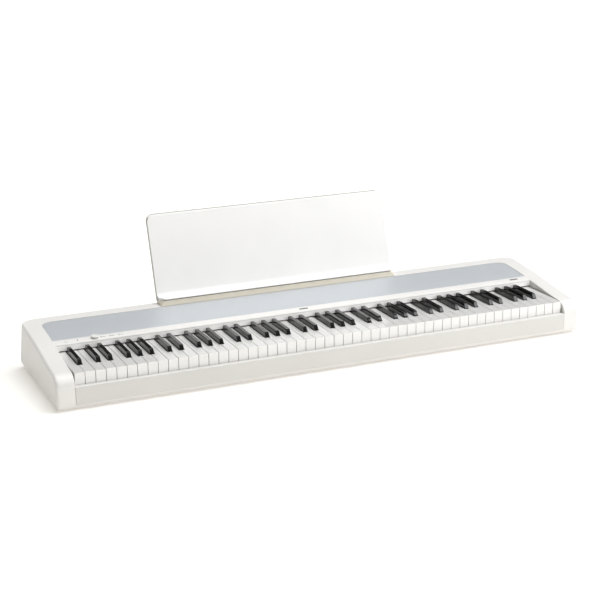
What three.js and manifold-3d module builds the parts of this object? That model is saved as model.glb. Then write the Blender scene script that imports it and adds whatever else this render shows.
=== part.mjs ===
// Slab digital piano: 88 keys, two speakers under a grille and a lift-off music rest.
// Millimetres. +X is the player's right, +Y runs away from the player, +Z is up.
// Depths are measured from the front face, and heights from the underside of the case.
import * as THREE from 'three';
import { mergeVertices } from 'three/addons/utils/BufferGeometryUtils.js';
import Module from 'manifold-3d';

const wasm = await Module();
wasm.setup();

// ---- driving dimensions -------------------------------------------------------------------
const CASE_WIDTH = 1312;
const CASE_DEPTH = 336;
const FOOT_HEIGHT = 13;
const WALL = 3.5;
const FIT = 0.4; // clearance between fixed pieces
const SEAT = 0.3; // clearance between pieces that rest on each other
const TALL = 200; // cutters reach well past what they cut
const HALF = CASE_WIDTH / 2;

// Top surface of the case from front to rear, as [depth, height].
const TOP_LINE = [
  [28, 68], [70, 72.4], [115, 79], [165, 86.1], [200, 91], [245, 95.2], [295, 99.4], [329, 101.6],
];
const NOSE_BASE = 41; // height where the rounded front edge of a cheek begins
const END_ROUND = 7; // rounding of the outer ends and of the rear top edge
const REAR_CORNER = 40; // rounding of the rear corners in plan at the top; they are square at the bottom
const CORNER_START = 14; // height where that rounding begins

// Keyboard
const WHITE_PITCH = 23.5;
const WHITE_COUNT = 52;
const KEY_GAP = 0.9;
const KEY_FRONT = 12;
const KEY_TOP = 68.2;
const KEY_UNDERSIDE = 50.2;
const LIP_BOTTOM = 37;
const BLACK_FRONT = 62;
const BLACK_RAMP = 4.5;
const BLACK_TOP = 79.7;
const BLACK_REAR = 158;
const BLACK_HALF = 5.4;
const BLACK_TOP_HALF = 4.5;
const NOTCH_HALF = 6.5;
const PLATE_REAR = 168; // where the visible plate of a key steps down to its tail
const TAIL_LOW = 52;
const TAIL_HIGH = 60;
const BLACK_TAIL_HIGH = 58; // the black tails dip to pass under the bar of the white combs
const COMB_BAR = 212; // depth where that bar begins
const WHITE_TAIL_END = 229;
const BLACK_TAIL_END = 238;
const STOP_FRONT = 178; // the rail above the tails that stops the keys' return
const STOP_REAR = 198;
const STOP_HAT = 34; // top of the chassis under the felt that stops the key fronts
const CONTACT_HAT = 29.6; // and under the contact board
const BOARD_FRONT = 118; // contact board
const BOARD_REAR = 158;
const DOME_FRONT = 130; // rubber domes on it
const DOME_REAR = 148;
const WELL_HALF = 613.5; // half the width between the cheeks
const FALLBOARD = 162; // depth of the upright face behind the keys
const FALLBOARD_BOTTOM = 69.5;

// Front rail
const RAIL_HEIGHT = 40.9;
const RAIL_DEPTH = 11.4;
const RAIL_WALL = 3;

// Grille panel
const GRILLE_HALF = 614;
const GRILLE_FRONT = 185.5;
const GRILLE_REAR = 298.7;
const GRILLE_CORNER = 24;
const RECESS_DEPTH = 2.1;
const GRILLE_DROP = 0.5;
const GRILLE_THICKNESS = 1.3;

// Speakers
const SPEAKER_X = 470;
const SPEAKER_Y = 262;
const SPEAKER_RADIUS = 62; // along the case; the frame is oval
const SPEAKER_OVAL = 0.52;

// Control strip
const STRIP_Y = 175;
const POWER_X = -584;
const LED_X = -559;
const KNOB_X = -519;
const BUTTON_XS = { sound: -500, song: -479, metronome: -458 };
const KNOB_RADIUS = 9.5;
const KNOB_HEIGHT = 5.5;

// Music rest
const REST_X = -10;
const REST_HALF = 311;
const REST_SLOPE = 0.32; // run back for each millimetre up
const REST_PLANE = 289.8; // depth of the panel's front plane at height zero
const REST_TOP = 305;
const REST_THICKNESS = 11.6;
const REST_ROUND = 5; // rounding of the panel's top edge at the back
const BROW = 3; // and at the front
const REST_BACK = REST_PLANE + REST_SLOPE * (REST_TOP - REST_ROUND) + REST_THICKNESS; // rearmost of the whole
const REST_FRONT = 303;
const BASE_FOOT = 299; // the base under the ledge meets the case from here
const BASE_HEEL = 329; // to here
const BASE_TOP = 106; // height where the base runs into the back of the panel
const LEDGE_TOP = 117;
const REST_FILLET = 14;
const REST_CORNER = 18;
const LEDGE_LIP = 2.5; // height of the small step along the front of the ledge
const LIP_REACH = 1.5;
const SHOULDER_X = 13; // the front corners are cut back by this much along X and Y
const SHOULDER_Y = 15;
const SHOULDER_DROP = 5.5; // the cut's lower edge falls by this much toward the rear
const TAB_OFFSET = 200;
const TAB_WIDTH = 60;
const TAB_FRONT = 320;
const TAB_REAR = 326;
const TAB_LENGTH = 14; // how far the tabs reach into their slots
const SLOT_FIT = 0.8;

// Rear sockets
const JACK_HEIGHT = 24;
const JACK_XS = { dc: -590, usb: -562, pedal: -534, phones: -506, line: -470 };

// ---- outlines and solids ------------------------------------------------------------------
const UP = new THREE.Matrix4();
const ALONG_X = new THREE.Matrix4().makeBasis(
  new THREE.Vector3(0, 1, 0), new THREE.Vector3(0, 0, 1), new THREE.Vector3(1, 0, 0));
const ALONG_Y = new THREE.Matrix4().makeBasis(
  new THREE.Vector3(1, 0, 0), new THREE.Vector3(0, 0, 1), new THREE.Vector3(0, -1, 0));

function toSolid(geometry) {
  const bare = geometry.clone();
  bare.deleteAttribute('normal');
  bare.deleteAttribute('uv');
  const merged = mergeVertices(bare, 1e-4);
  const mesh = new wasm.Mesh({
    numProp: 3,
    vertProperties: new Float32Array(merged.attributes.position.array),
    triVerts: new Uint32Array(merged.index.array),
  });
  return new wasm.Manifold(mesh);
}

function toGeometry(solid) {
  const mesh = solid.getMesh();
  const geometry = new THREE.BufferGeometry();
  geometry.setAttribute('position', new THREE.BufferAttribute(new Float32Array(mesh.vertProperties), 3));
  geometry.setIndex(new THREE.BufferAttribute(new Uint32Array(mesh.triVerts), 1));
  return geometry;
}

function toShape(points) {
  return new THREE.Shape(points.map(([u, v]) => new THREE.Vector2(u, v)));
}

// Extrudes an outline of [u, v] points, or a THREE.Shape, from one place to another along an axis.
function prism(outline, from, to, axis = UP) {
  const shape = Array.isArray(outline) ? toShape(outline) : outline;
  const options = { depth: to - from, bevelEnabled: false, curveSegments: 6 };
  const geometry = new THREE.ExtrudeGeometry(shape, options);
  geometry.translate(0, 0, axis === ALONG_Y ? -to : from);
  return toSolid(geometry.applyMatrix4(axis));
}

function box(x0, x1, y0, y1, z0, z1) {
  const geometry = new THREE.BoxGeometry(x1 - x0, y1 - y0, z1 - z0);
  return toSolid(geometry.translate((x0 + x1) / 2, (y0 + y1) / 2, (z0 + z1) / 2));
}

// A cylinder along Z, or along Y when upright is false.
function cylinder(radius, from, to, x = 0, y = 0, sides = 24, upright = true) {
  const geometry = new THREE.CylinderGeometry(radius, radius, to - from, sides);
  if (!upright) return toSolid(geometry.translate(x, (from + to) / 2, y));
  return toSolid(geometry.rotateX(Math.PI / 2).translate(x, y, (from + to) / 2));
}

function lathe(points, sides = 24) {
  const profile = points.map(([radius, height]) => new THREE.Vector2(radius, height));
  return toSolid(new THREE.LatheGeometry(profile, sides).rotateX(Math.PI / 2));
}

function union(solids) {
  return solids.reduce((joined, next) => joined.add(next));
}

function arc(cy, cz, ry, rz, fromDegrees, toDegrees, steps) {
  const points = [];
  for (let i = 0; i <= steps; i += 1) {
    const angle = THREE.MathUtils.degToRad(fromDegrees + ((toDegrees - fromDegrees) * i) / steps);
    points.push([cy + ry * Math.cos(angle), cz + rz * Math.sin(angle)]);
  }
  return points;
}

function topHeight(depth) {
  for (let i = 1; i < TOP_LINE.length; i += 1) {
    const [y0, z0] = TOP_LINE[i - 1];
    const [y1, z1] = TOP_LINE[i];
    if (depth <= y1) return z0 + ((z1 - z0) * (depth - y0)) / (y1 - y0);
  }
  return TOP_LINE[TOP_LINE.length - 1][1];
}

// ---- case ---------------------------------------------------------------------------------
// Side outline of the case, drawn in by inset everywhere but at the bottom.
function caseOutline(inset, bottom) {
  const [noseY, noseZ] = TOP_LINE[0];
  const rearTop = TOP_LINE[TOP_LINE.length - 1][1];
  const rearRadius = Math.max(END_ROUND - inset, 0.5);
  const rearY = CASE_DEPTH - inset - rearRadius;
  const rear = arc(rearY, rearTop - inset - rearRadius, rearRadius, rearRadius, 0, 80, 4);
  const top = TOP_LINE.slice(0, -1).reverse().map(([y, z]) => [y, z - inset]);
  const nose = arc(noseY, NOSE_BASE, noseY - inset, noseZ - NOSE_BASE - inset, 100, 180, 6);
  return [[inset, bottom], [CASE_DEPTH - inset, bottom], ...rear, ...top, ...nose];
}

// Joins case outlines at several x stations into one closed solid.
function loft(stations) {
  const count = stations[0].ring.length;
  const positions = stations.flatMap(({ x, ring }) => ring.flatMap(([y, z]) => [x, y, z]));
  const contour = stations[0].ring.map(([y, z]) => new THREE.Vector2(y, z));
  const cap = THREE.ShapeUtils.triangulateShape(contour, []);
  const last = (stations.length - 1) * count;
  const index = [];
  for (const [a, b, c] of cap) {
    index.push(a, c, b, last + a, last + b, last + c);
  }
  for (let s = 0; s < stations.length - 1; s += 1) {
    for (let i = 0; i < count; i += 1) {
      const a = s * count + i;
      const b = s * count + ((i + 1) % count);
      index.push(a, b, a + count, b, b + count, a + count);
    }
  }
  const geometry = new THREE.BufferGeometry();
  geometry.setAttribute('position', new THREE.Float32BufferAttribute(positions, 3));
  geometry.setIndex(index);
  return toSolid(geometry);
}

// Upright envelope whose rear corners are square at the bottom and rounded at the top.
function caseEnvelope(inset) {
  const half = HALF - inset;
  const rear = CASE_DEPTH - inset;
  const radius = REAR_CORNER - inset;
  const top = TOP_LINE[TOP_LINE.length - 1][1];
  const rounded = arc(half - radius, rear - radius, radius, radius, 0, 90, 8);
  const outline = [[half, -WALL], ...rounded];
  const upper = outline.flatMap(([x, y]) => [[x, y, top], [-x, y, top]]);
  const lower = [-WALL, CORNER_START].flatMap((z) => [
    [half, -WALL, z], [-half, -WALL, z], [half, rear, z], [-half, rear, z],
  ]);
  return wasm.Manifold.hull([...lower, ...upper]);
}

function roundedCaseBlock() {
  const angles = [0, 22.5, 45, 67.5, 90].map(THREE.MathUtils.degToRad);
  const right = angles.map((angle) => ({
    x: HALF - END_ROUND * (1 - Math.cos(angle)),
    ring: caseOutline(END_ROUND * (1 - Math.sin(angle)), 0),
  }));
  const left = right.map(({ x, ring }) => ({ x: -x, ring }));
  return loft([...left, ...right.reverse()]).intersect(caseEnvelope(0));
}

function grillePlan(margin) {
  const half = GRILLE_HALF - margin;
  const front = GRILLE_FRONT + margin;
  const rear = GRILLE_REAR - margin;
  const corner = GRILLE_CORNER - margin;
  const shape = new THREE.Shape();
  shape.moveTo(-half, front);
  shape.lineTo(half, front);
  shape.lineTo(half, rear - corner);
  shape.absarc(half - corner, rear - corner, corner, 0, Math.PI / 2, false);
  shape.lineTo(-half + corner, rear);
  shape.absarc(-half + corner, rear - corner, corner, Math.PI / 2, Math.PI, false);
  return shape;
}

// Side outline of a layer that follows the top surface, between two depths below it.
function topLayer(upper, lower) {
  const inner = TOP_LINE.filter(([y]) => y > GRILLE_FRONT && y < GRILLE_REAR).map(([y]) => y);
  const depths = [GRILLE_FRONT - 1, ...inner, GRILLE_REAR + 1];
  const below = depths.map((y) => [y, topHeight(y) - lower]);
  const above = depths.reverse().map((y) => [y, topHeight(y) - upper]);
  return [...below, ...above];
}

function speakerHole(side) {
  const geometry = new THREE.CylinderGeometry(SPEAKER_RADIUS - 6, SPEAKER_RADIUS - 6, TALL, 28);
  geometry.rotateX(Math.PI / 2).scale(1, SPEAKER_OVAL, 1);
  return toSolid(geometry.translate(side * SPEAKER_X, SPEAKER_Y, TALL / 2 + KEY_TOP));
}

function restSlot(side) {
  const x = REST_X + side * TAB_OFFSET;
  const half = TAB_WIDTH / 2 + 1;
  return box(x - half, x + half, TAB_FRONT - SLOT_FIT, TAB_REAR + SLOT_FIT, BLACK_TOP, TALL);
}

function topCase() {
  const end = HALF - WALL;
  const rearInner = CASE_DEPTH - WALL;
  const wellOuter = WELL_HALF + WALL;
  const hollow = prism(caseOutline(WALL, -WALL), -end, end, ALONG_X)
    .intersect(caseEnvelope(WALL))
    .subtract(box(-wellOuter, wellOuter, -WALL, FALLBOARD + WALL, -TALL, TALL));
  const cuts = [
    hollow,
    box(-WELL_HALF, WELL_HALF, -WALL, FALLBOARD, -TALL, TALL),
    box(-WELL_HALF, WELL_HALF, FALLBOARD - 1, FALLBOARD + WALL + 1, -TALL, FALLBOARD_BOTTOM),
    box(-end, end, WALL, rearInner, -TALL, WALL),
    prism(topLayer(-TALL, RECESS_DEPTH), -HALF, HALF, ALONG_X).intersect(prism(grillePlan(0), 0, 2 * TALL)),
    speakerHole(-1),
    speakerHole(1),
    restSlot(-1),
    restSlot(1),
    ...controlHoles(),
    ...jackHoles(),
  ];
  return roundedCaseBlock().subtract(union(cuts));
}

function bottomCase() {
  const x = HALF - WALL - FIT;
  const rear = CASE_DEPTH - WALL - FIT;
  const sheet = 3;
  const lip = 2.5;
  const lipFront = 20;
  const lipTop = 12;
  return union([
    box(-x, x, WALL + FIT, rear, 0, sheet),
    box(-x, -x + lip, lipFront, rear, sheet - 1, lipTop),
    box(x - lip, x, lipFront, rear, sheet - 1, lipTop),
    box(-x, x, rear - lip, rear, sheet - 1, lipTop),
  ]);
}

function frontRail() {
  const x = WELL_HALF - FIT;
  const outline = [
    [0, 0], [RAIL_WALL, 0], [RAIL_WALL, RAIL_HEIGHT - RAIL_WALL], [RAIL_DEPTH, RAIL_HEIGHT - RAIL_WALL],
    [RAIL_DEPTH, RAIL_HEIGHT], ...arc(RAIL_WALL, RAIL_HEIGHT - RAIL_WALL, RAIL_WALL, RAIL_WALL, 90, 180, 4),
  ];
  return prism(outline, -x, x, ALONG_X);
}

function grillePanel() {
  const sheet = prism(topLayer(GRILLE_DROP, GRILLE_DROP + GRILLE_THICKNESS), -HALF, HALF, ALONG_X);
  return sheet.intersect(prism(grillePlan(0.7), 0, TALL));
}

function foot() {
  const top = FOOT_HEIGHT - SEAT;
  return lathe([[0, 0], [14, 0], [15, 1.5], [16, top], [0, top]], 20);
}

// ---- keyboard -----------------------------------------------------------------------------
// Blacks sit after these whites of an octave that starts on C, shifted by these amounts.
const BLACK_AFTER = { 0: -2, 1: 2, 3: -3, 4: 0, 5: 3 };
const WHITES_PER_OCTAVE = 7;
const FIRST_WHITE_STEP = 5; // the lowest key is an A

function whiteStep(index) {
  return (index + FIRST_WHITE_STEP) % WHITES_PER_OCTAVE;
}

function whiteLeft(index) {
  return (index - WHITE_COUNT / 2) * WHITE_PITCH;
}

// Centre of the black key to the right of a white key, or null where there is none.
function blackCentre(index) {
  const shift = BLACK_AFTER[whiteStep(index)];
  if (shift === undefined || index < 0 || index >= WHITE_COUNT - 1) return null;
  return whiteLeft(index + 1) + shift;
}

function whiteSide() {
  return [
    [KEY_FRONT, LIP_BOTTOM], [KEY_FRONT + 3, LIP_BOTTOM], [KEY_FRONT + 3, KEY_UNDERSIDE],
    [PLATE_REAR - 8, KEY_UNDERSIDE], [PLATE_REAR - 2, TAIL_LOW], [WHITE_TAIL_END, TAIL_LOW],
    [WHITE_TAIL_END, TAIL_HIGH], [PLATE_REAR + 4, TAIL_HIGH], [PLATE_REAR, KEY_TOP],
    [KEY_FRONT + 1.5, KEY_TOP], [KEY_FRONT, KEY_TOP - 1.5],
  ];
}

function whiteKey(index) {
  const left = whiteLeft(index) + KEY_GAP / 2;
  const right = whiteLeft(index + 1) - KEY_GAP / 2;
  const blackOnLeft = blackCentre(index - 1);
  const blackOnRight = blackCentre(index);
  const innerLeft = blackOnLeft === null ? left : blackOnLeft + NOTCH_HALF;
  const innerRight = blackOnRight === null ? right : blackOnRight - NOTCH_HALF;
  const notch = BLACK_FRONT - 1;
  const plan = [
    [left, 0], [right, 0], [right, notch], [innerRight, notch], [innerRight, CASE_DEPTH],
    [innerLeft, CASE_DEPTH], [innerLeft, notch], [left, notch],
  ];
  const same = (a, b) => a[0] === b[0] && a[1] === b[1];
  const unique = plan.filter((point, i) => i === 0 || !same(point, plan[i - 1]));
  return prism(whiteSide(), left, right, ALONG_X).intersect(prism(unique, 0, TALL));
}

function blackKey(index) {
  const centre = blackCentre(index);
  const side = [
    [BLACK_FRONT, KEY_UNDERSIDE], [PLATE_REAR - 8, KEY_UNDERSIDE], [PLATE_REAR - 2, TAIL_LOW],
    [BLACK_TAIL_END, TAIL_LOW], [BLACK_TAIL_END, BLACK_TAIL_HIGH], [COMB_BAR - 6, BLACK_TAIL_HIGH],
    [COMB_BAR - 10, TAIL_HIGH], [PLATE_REAR, TAIL_HIGH],
    [BLACK_REAR, KEY_TOP], [BLACK_REAR, BLACK_TOP], [BLACK_FRONT + BLACK_RAMP + 1.5, BLACK_TOP],
    [BLACK_FRONT + BLACK_RAMP, BLACK_TOP - 1.5], [BLACK_FRONT, KEY_TOP],
  ];
  const section = [
    [centre - BLACK_HALF, 0], [centre + BLACK_HALF, 0], [centre + BLACK_HALF, KEY_TOP],
    [centre + BLACK_TOP_HALF, BLACK_TOP - 0.8], [centre + BLACK_TOP_HALF - 0.8, BLACK_TOP],
    [centre - BLACK_TOP_HALF + 0.8, BLACK_TOP], [centre - BLACK_TOP_HALF, BLACK_TOP - 0.8],
    [centre - BLACK_HALF, KEY_TOP],
  ];
  const bar = prism(side, centre - BLACK_HALF, centre + BLACK_HALF, ALONG_X);
  return bar.intersect(prism(section, 0, CASE_DEPTH, ALONG_Y));
}

function indices(from, to) {
  return Array.from({ length: to - from }, (_, i) => from + i);
}

// Whites of a range joined by a bar above their tails.
function whiteComb(from, to) {
  const x0 = whiteLeft(from) + KEY_GAP;
  const x1 = whiteLeft(to) - KEY_GAP;
  const bar = box(x0, x1, COMB_BAR, WHITE_TAIL_END, TAIL_HIGH - 1, TAIL_HIGH + 6);
  return union([...indices(from, to).map(whiteKey), bar]);
}

// Blacks of a range joined by a bar behind the white tails.
function blackComb(from, to) {
  const blacks = indices(from, to).filter((index) => blackCentre(index) !== null);
  const x0 = blackCentre(blacks[0]) - BLACK_HALF;
  const x1 = blackCentre(blacks[blacks.length - 1]) + BLACK_HALF;
  const bar = box(x0, x1, WHITE_TAIL_END + 2, BLACK_TAIL_END, TAIL_LOW, BLACK_TAIL_HIGH);
  return union([...blacks.map(blackKey), bar]);
}

// Folded sheet steel with a raised hat under the key fronts, the contact board and the tails.
function keybedChassis() {
  const sheet = 2.5;
  const low = WALL;
  const front = 16;
  const rear = 242;
  const hats = [
    { front: 20, rear: 48, top: STOP_HAT, lean: 0 },
    { front: 112, rear: 164, top: CONTACT_HAT, lean: 0 },
    { front: 214, rear: 236, top: TAIL_LOW - 2 * FIT, lean: 4 },
  ];
  const upper = [[front, low + sheet]];
  const lower = [[front, low]];
  for (const hat of hats) {
    const { top, lean } = hat;
    upper.push([hat.front, low + sheet], [hat.front + lean, top]);
    upper.push([hat.rear - lean, top], [hat.rear, low + sheet]);
    lower.push([hat.front + sheet, low], [hat.front + lean + sheet, top - sheet]);
    lower.push([hat.rear - lean - sheet, top - sheet], [hat.rear - sheet, low]);
  }
  const outline = [...lower, [rear, low], [rear, low + sheet], ...upper.reverse()];
  return prism(outline, -WELL_HALF + 1.5, WELL_HALF - 1.5, ALONG_X);
}

function upperStopRail() {
  const x = WELL_HALF + 7;
  const sheet = 3;
  const low = TAIL_HIGH + 3.6;
  return union([
    box(-x, x, STOP_FRONT, STOP_REAR, low, low + sheet),
    box(-x, -x + sheet, STOP_FRONT, STOP_REAR, WALL, low + 1),
    box(x - sheet, x, STOP_FRONT, STOP_REAR, WALL, low + 1),
  ]);
}

function strip(half, y0, y1, z0, z1) {
  return box(-half, half, y0, y1, z0, z1);
}

// One rubber strip with a dome under every key.
function contactRubber() {
  const base = 32;
  const web = 34;
  const crown = 44;
  const foot = 3.4;
  const tip = 2.2;
  const centres = indices(0, WHITE_COUNT).flatMap((index) => {
    const black = blackCentre(index);
    const blackLeft = blackCentre(index - 1);
    const left = blackLeft === null ? whiteLeft(index) : blackLeft + BLACK_HALF;
    const right = black === null ? whiteLeft(index + 1) : black - BLACK_HALF;
    return black === null ? [(left + right) / 2] : [(left + right) / 2, black];
  });
  const dome = (x) => [[x - foot, web], [x - tip, crown], [x + tip, crown], [x + foot, web]];
  const ridge = centres.flatMap(dome);
  const half = WELL_HALF - 5;
  const outline = [[-half, web], [-half, base], [half, base], [half, web], ...ridge.reverse()];
  return prism(outline, DOME_FRONT, DOME_REAR, ALONG_Y);
}

// ---- controls -----------------------------------------------------------------------------
// The strip's own frame: origin on its surface, Z square to it.
function stripMatrix() {
  const tilt = Math.atan2(topHeight(STRIP_Y + 10) - topHeight(STRIP_Y), 10);
  const matrix = new THREE.Matrix4().makeRotationX(tilt);
  return matrix.setPosition(0, STRIP_Y, topHeight(STRIP_Y));
}

function placed(solid, matrix) {
  return toSolid(toGeometry(solid).applyMatrix4(matrix));
}

const BUTTON_LENGTH = 13;
const BUTTON_WIDTH = 6;
const BUTTON_RISE = 1.8;
const POWER_RADIUS = 5.5;
const SHAFT_RADIUS = 3;
const LED_RADIUS = 1.5;
const BOARD_SHEET = 1.6; // thickness of the circuit boards
const BOARD_DEPTH = 9; // distance of the panel board below the strip's surface
const STEM_LOW = -BOARD_DEPTH + 2.4; // lower end of the buttons' stems, above the switches
const PANEL_LEFT = -598;
const PANEL_RIGHT = -444;

function pill(length, width) {
  const radius = width / 2;
  const straight = length / 2 - radius;
  const shape = new THREE.Shape();
  shape.moveTo(-straight, -radius);
  shape.lineTo(straight, -radius);
  shape.absarc(straight, 0, radius, -Math.PI / 2, Math.PI / 2, false);
  shape.lineTo(-straight, radius);
  shape.absarc(-straight, 0, radius, Math.PI / 2, (3 * Math.PI) / 2, false);
  return shape;
}

function controlHoles() {
  const matrix = stripMatrix();
  const buttons = Object.values(BUTTON_XS).map((x) => {
    return toSolid(toGeometry(prism(pill(BUTTON_LENGTH + 1, BUTTON_WIDTH + 1), -TALL / 10, TALL / 10))
      .translate(x, 0, 0));
  });
  const round = [
    cylinder(POWER_RADIUS + 0.5, -TALL / 10, TALL / 10, POWER_X),
    cylinder(LED_RADIUS + FIT, -TALL / 10, TALL / 10, LED_X, 0, 16),
    cylinder(SHAFT_RADIUS + 1, -TALL / 10, TALL / 10, KNOB_X),
  ];
  return [...buttons, ...round].map((hole) => placed(hole, matrix));
}

function pushButton() {
  return union([
    prism(pill(BUTTON_LENGTH, BUTTON_WIDTH), -WALL - 0.5, BUTTON_RISE),
    cylinder(2, STEM_LOW, -WALL, 0, 0, 12),
  ]);
}

function powerButton() {
  const rise = 1.1;
  const stem = 2;
  return lathe([
    [0, STEM_LOW], [stem, STEM_LOW], [stem, -WALL - 0.5], [POWER_RADIUS, -WALL - 0.5],
    [POWER_RADIUS, rise - 0.6], [POWER_RADIUS - 0.6, rise], [0, rise],
  ]);
}

function volumeKnob() {
  const base = 0.6;
  const shaftLow = -BOARD_DEPTH + 2.2;
  const body = lathe([
    [0, shaftLow], [SHAFT_RADIUS, shaftLow], [SHAFT_RADIUS, base], [KNOB_RADIUS, base],
    [KNOB_RADIUS - 0.4, KNOB_HEIGHT - 0.8], [KNOB_RADIUS - 1.2, KNOB_HEIGHT], [0, KNOB_HEIGHT],
  ], 36);
  const mark = box(-0.6, 0.6, KNOB_RADIUS - 5, KNOB_RADIUS + 1, KNOB_HEIGHT - 0.7, KNOB_HEIGHT + 1);
  return body.subtract(mark);
}

function powerLed() {
  const low = -BOARD_DEPTH + 2;
  return lathe([[0, low], [LED_RADIUS, low], [LED_RADIUS, 0.2], [0.8, 0.6], [0, 0.6]], 12);
}

// Board with its switches and the volume control's body standing on it.
function panelBoard() {
  const top = -BOARD_DEPTH + 0.2;
  const half = 9;
  const standing = (x, size, height) => box(x - size, x + size, -size, size, top - 1, top + height);
  const switches = [POWER_X, ...Object.values(BUTTON_XS)].map((x) => standing(x, 3, 0.6));
  const plate = box(PANEL_LEFT, PANEL_RIGHT, -half, half, top - BOARD_SHEET, top);
  return union([plate, standing(KNOB_X, 5, 1.6), ...switches]);
}

// ---- rear electronics ---------------------------------------------------------------------
const BOARD_TOP = 15.6;
const JACK_REAR = CASE_DEPTH - 0.5;
const JACK_FRONT = 318;

function jackHoles() {
  const z = JACK_HEIGHT;
  const from = CASE_DEPTH - 10;
  const to = CASE_DEPTH + 10;
  const names = ['dc', 'pedal', 'phones'];
  const round = names.map((name) => cylinder(6.5, from, to, JACK_XS[name], z, 24, false));
  const square = [box(JACK_XS.usb - 6.5, JACK_XS.usb + 6.5, from, to, z - 6, z + 6)];
  const pair = [box(JACK_XS.line - 15.5, JACK_XS.line + 15.5, from, to, z - 5.5, z + 5.5)];
  return [...round, ...square, ...pair];
}

function jackBody(x, face) {
  const block = box(x - 8, x + 8, JACK_FRONT, CASE_DEPTH - WALL - 1, BOARD_TOP + SEAT, JACK_HEIGHT + 8);
  return block.add(face);
}

function roundJack(x, boreRadius, boreDepth) {
  const face = cylinder(6, JACK_FRONT + 6, JACK_REAR, x, JACK_HEIGHT, 24, false);
  const bore = cylinder(boreRadius, JACK_REAR - boreDepth, JACK_REAR + 1, x, JACK_HEIGHT, 20, false);
  return jackBody(x, face).subtract(bore);
}

function dcInlet() {
  const pin = cylinder(1, JACK_FRONT + 2, JACK_REAR - 2, JACK_XS.dc, JACK_HEIGHT, 10, false);
  return roundJack(JACK_XS.dc, 3.4, 10).add(pin);
}

function usbSocket() {
  const x = JACK_XS.usb;
  const z = JACK_HEIGHT;
  const face = box(x - 6, x + 6, JACK_FRONT + 4, JACK_REAR, z - 5.5, z + 5.5);
  const mouth = box(x - 4.3, x + 4.3, JACK_REAR - 9, JACK_REAR + 1, z - 4, z + 4);
  const tongue = box(x - 2.8, x + 2.8, JACK_FRONT + 6, JACK_REAR - 1, z - 1.6, z + 1.6);
  return jackBody(x, face).subtract(mouth).add(tongue);
}

function lineJacks() {
  const x = JACK_XS.line;
  const block = box(x - 16, x + 16, JACK_FRONT, CASE_DEPTH - WALL - 1, BOARD_TOP + SEAT, JACK_HEIGHT + 7);
  const face = box(x - 15, x + 15, JACK_FRONT + 4, JACK_REAR, JACK_HEIGHT - 5, JACK_HEIGHT + 5);
  const bore = (dx) => cylinder(1.8, JACK_REAR - 12, JACK_REAR + 1, x + dx, JACK_HEIGHT, 16, false);
  const bores = [-7, 7].map(bore);
  return block.add(face).subtract(union(bores));
}

// Circuit board with its main chips, capacitors and the amplifier's heat sink.
function mainBoard() {
  const onBoard = (x0, x1, y0, y1, height) => box(x0, x1, y0, y1, BOARD_TOP - 1, BOARD_TOP + height);
  const plate = box(-612, -390, 258, 328, BOARD_TOP - BOARD_SHEET, BOARD_TOP);
  const chips = [
    { x: -560, y: 285, half: 14, height: 3 },
    { x: -520, y: 290, half: 10, height: 2.5 },
    { x: -480, y: 280, half: 12, height: 2.5 },
  ].map(({ x, y, half, height }) => onBoard(x - half, x + half, y - half, y + half, height));
  const cans = [-430, -414].map((x) => cylinder(6, BOARD_TOP - 1, BOARD_TOP + 16, x, 300, 16));
  const sinkLeft = -455;
  const sinkFront = 262;
  const sinkRear = 274;
  const finPitch = 4;
  const finSheet = 2;
  const finCount = 6;
  const fins = indices(0, finCount).map((i) => {
    const left = sinkLeft + i * finPitch;
    return onBoard(left, left + finSheet, sinkFront, sinkRear, 18);
  });
  const sinkRight = sinkLeft + (finCount - 1) * finPitch + finSheet;
  const sink = onBoard(sinkLeft, sinkRight, sinkFront, sinkRear, 3);
  return union([plate, ...chips, ...cans, sink, ...fins]);
}

// ---- speakers: local frame, Z along the axis, rim at zero ------------------------------------
function oval(solid) {
  return toSolid(toGeometry(solid).scale(1, SPEAKER_OVAL, 1));
}

function speakerFrame() {
  const r = SPEAKER_RADIUS;
  return oval(lathe([
    [0, -40], [24, -40], [24, -27], [r - 4, -3], [r, -3], [r, 0],
    [r - 8, 0], [r - 8, -4.5], [20, -24], [0, -24],
  ], 28));
}

function speakerCone() {
  const r = SPEAKER_RADIUS - 8.5;
  return oval(lathe([
    [0, -18.5], [14, -20.5], [r - 7, -3.4], [r - 3.5, -1.4], [r, -2.6], [r, -1.6], [r - 3.5, -0.4],
    [r - 8, -2.2], [14, -18.8], [10, -16], [0, -15],
  ], 28));
}

// ---- music rest ---------------------------------------------------------------------------
function restSide() {
  const lean = Math.atan(REST_SLOPE);
  const front = (z) => REST_PLANE + REST_SLOPE * z;
  const back = (z) => front(z) + REST_THICKNESS;
  const reach = REST_FILLET * Math.tan(Math.PI / 4 - lean / 2);
  const filletY = front(LEDGE_TOP) - reach;
  const leanDegrees = THREE.MathUtils.radToDeg(lean);
  const fillet = arc(filletY, LEDGE_TOP + REST_FILLET, REST_FILLET, REST_FILLET, -leanDegrees, -90, 6);
  const lip = REST_FRONT - LIP_REACH;
  return [
    [BASE_FOOT, topHeight(BASE_FOOT) + FIT], [BASE_HEEL, topHeight(BASE_HEEL) + FIT],
    [back(BASE_TOP), BASE_TOP],
    [back(REST_TOP - REST_ROUND), REST_TOP - REST_ROUND], [back(REST_TOP) - REST_ROUND, REST_TOP],
    [front(REST_TOP) + BROW, REST_TOP], [front(REST_TOP - BROW), REST_TOP - BROW], ...fillet,
    [lip + 1, LEDGE_TOP], [lip, LEDGE_TOP - 1], [lip, LEDGE_TOP - LEDGE_LIP],
    [REST_FRONT, LEDGE_TOP - LEDGE_LIP],
  ];
}

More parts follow.
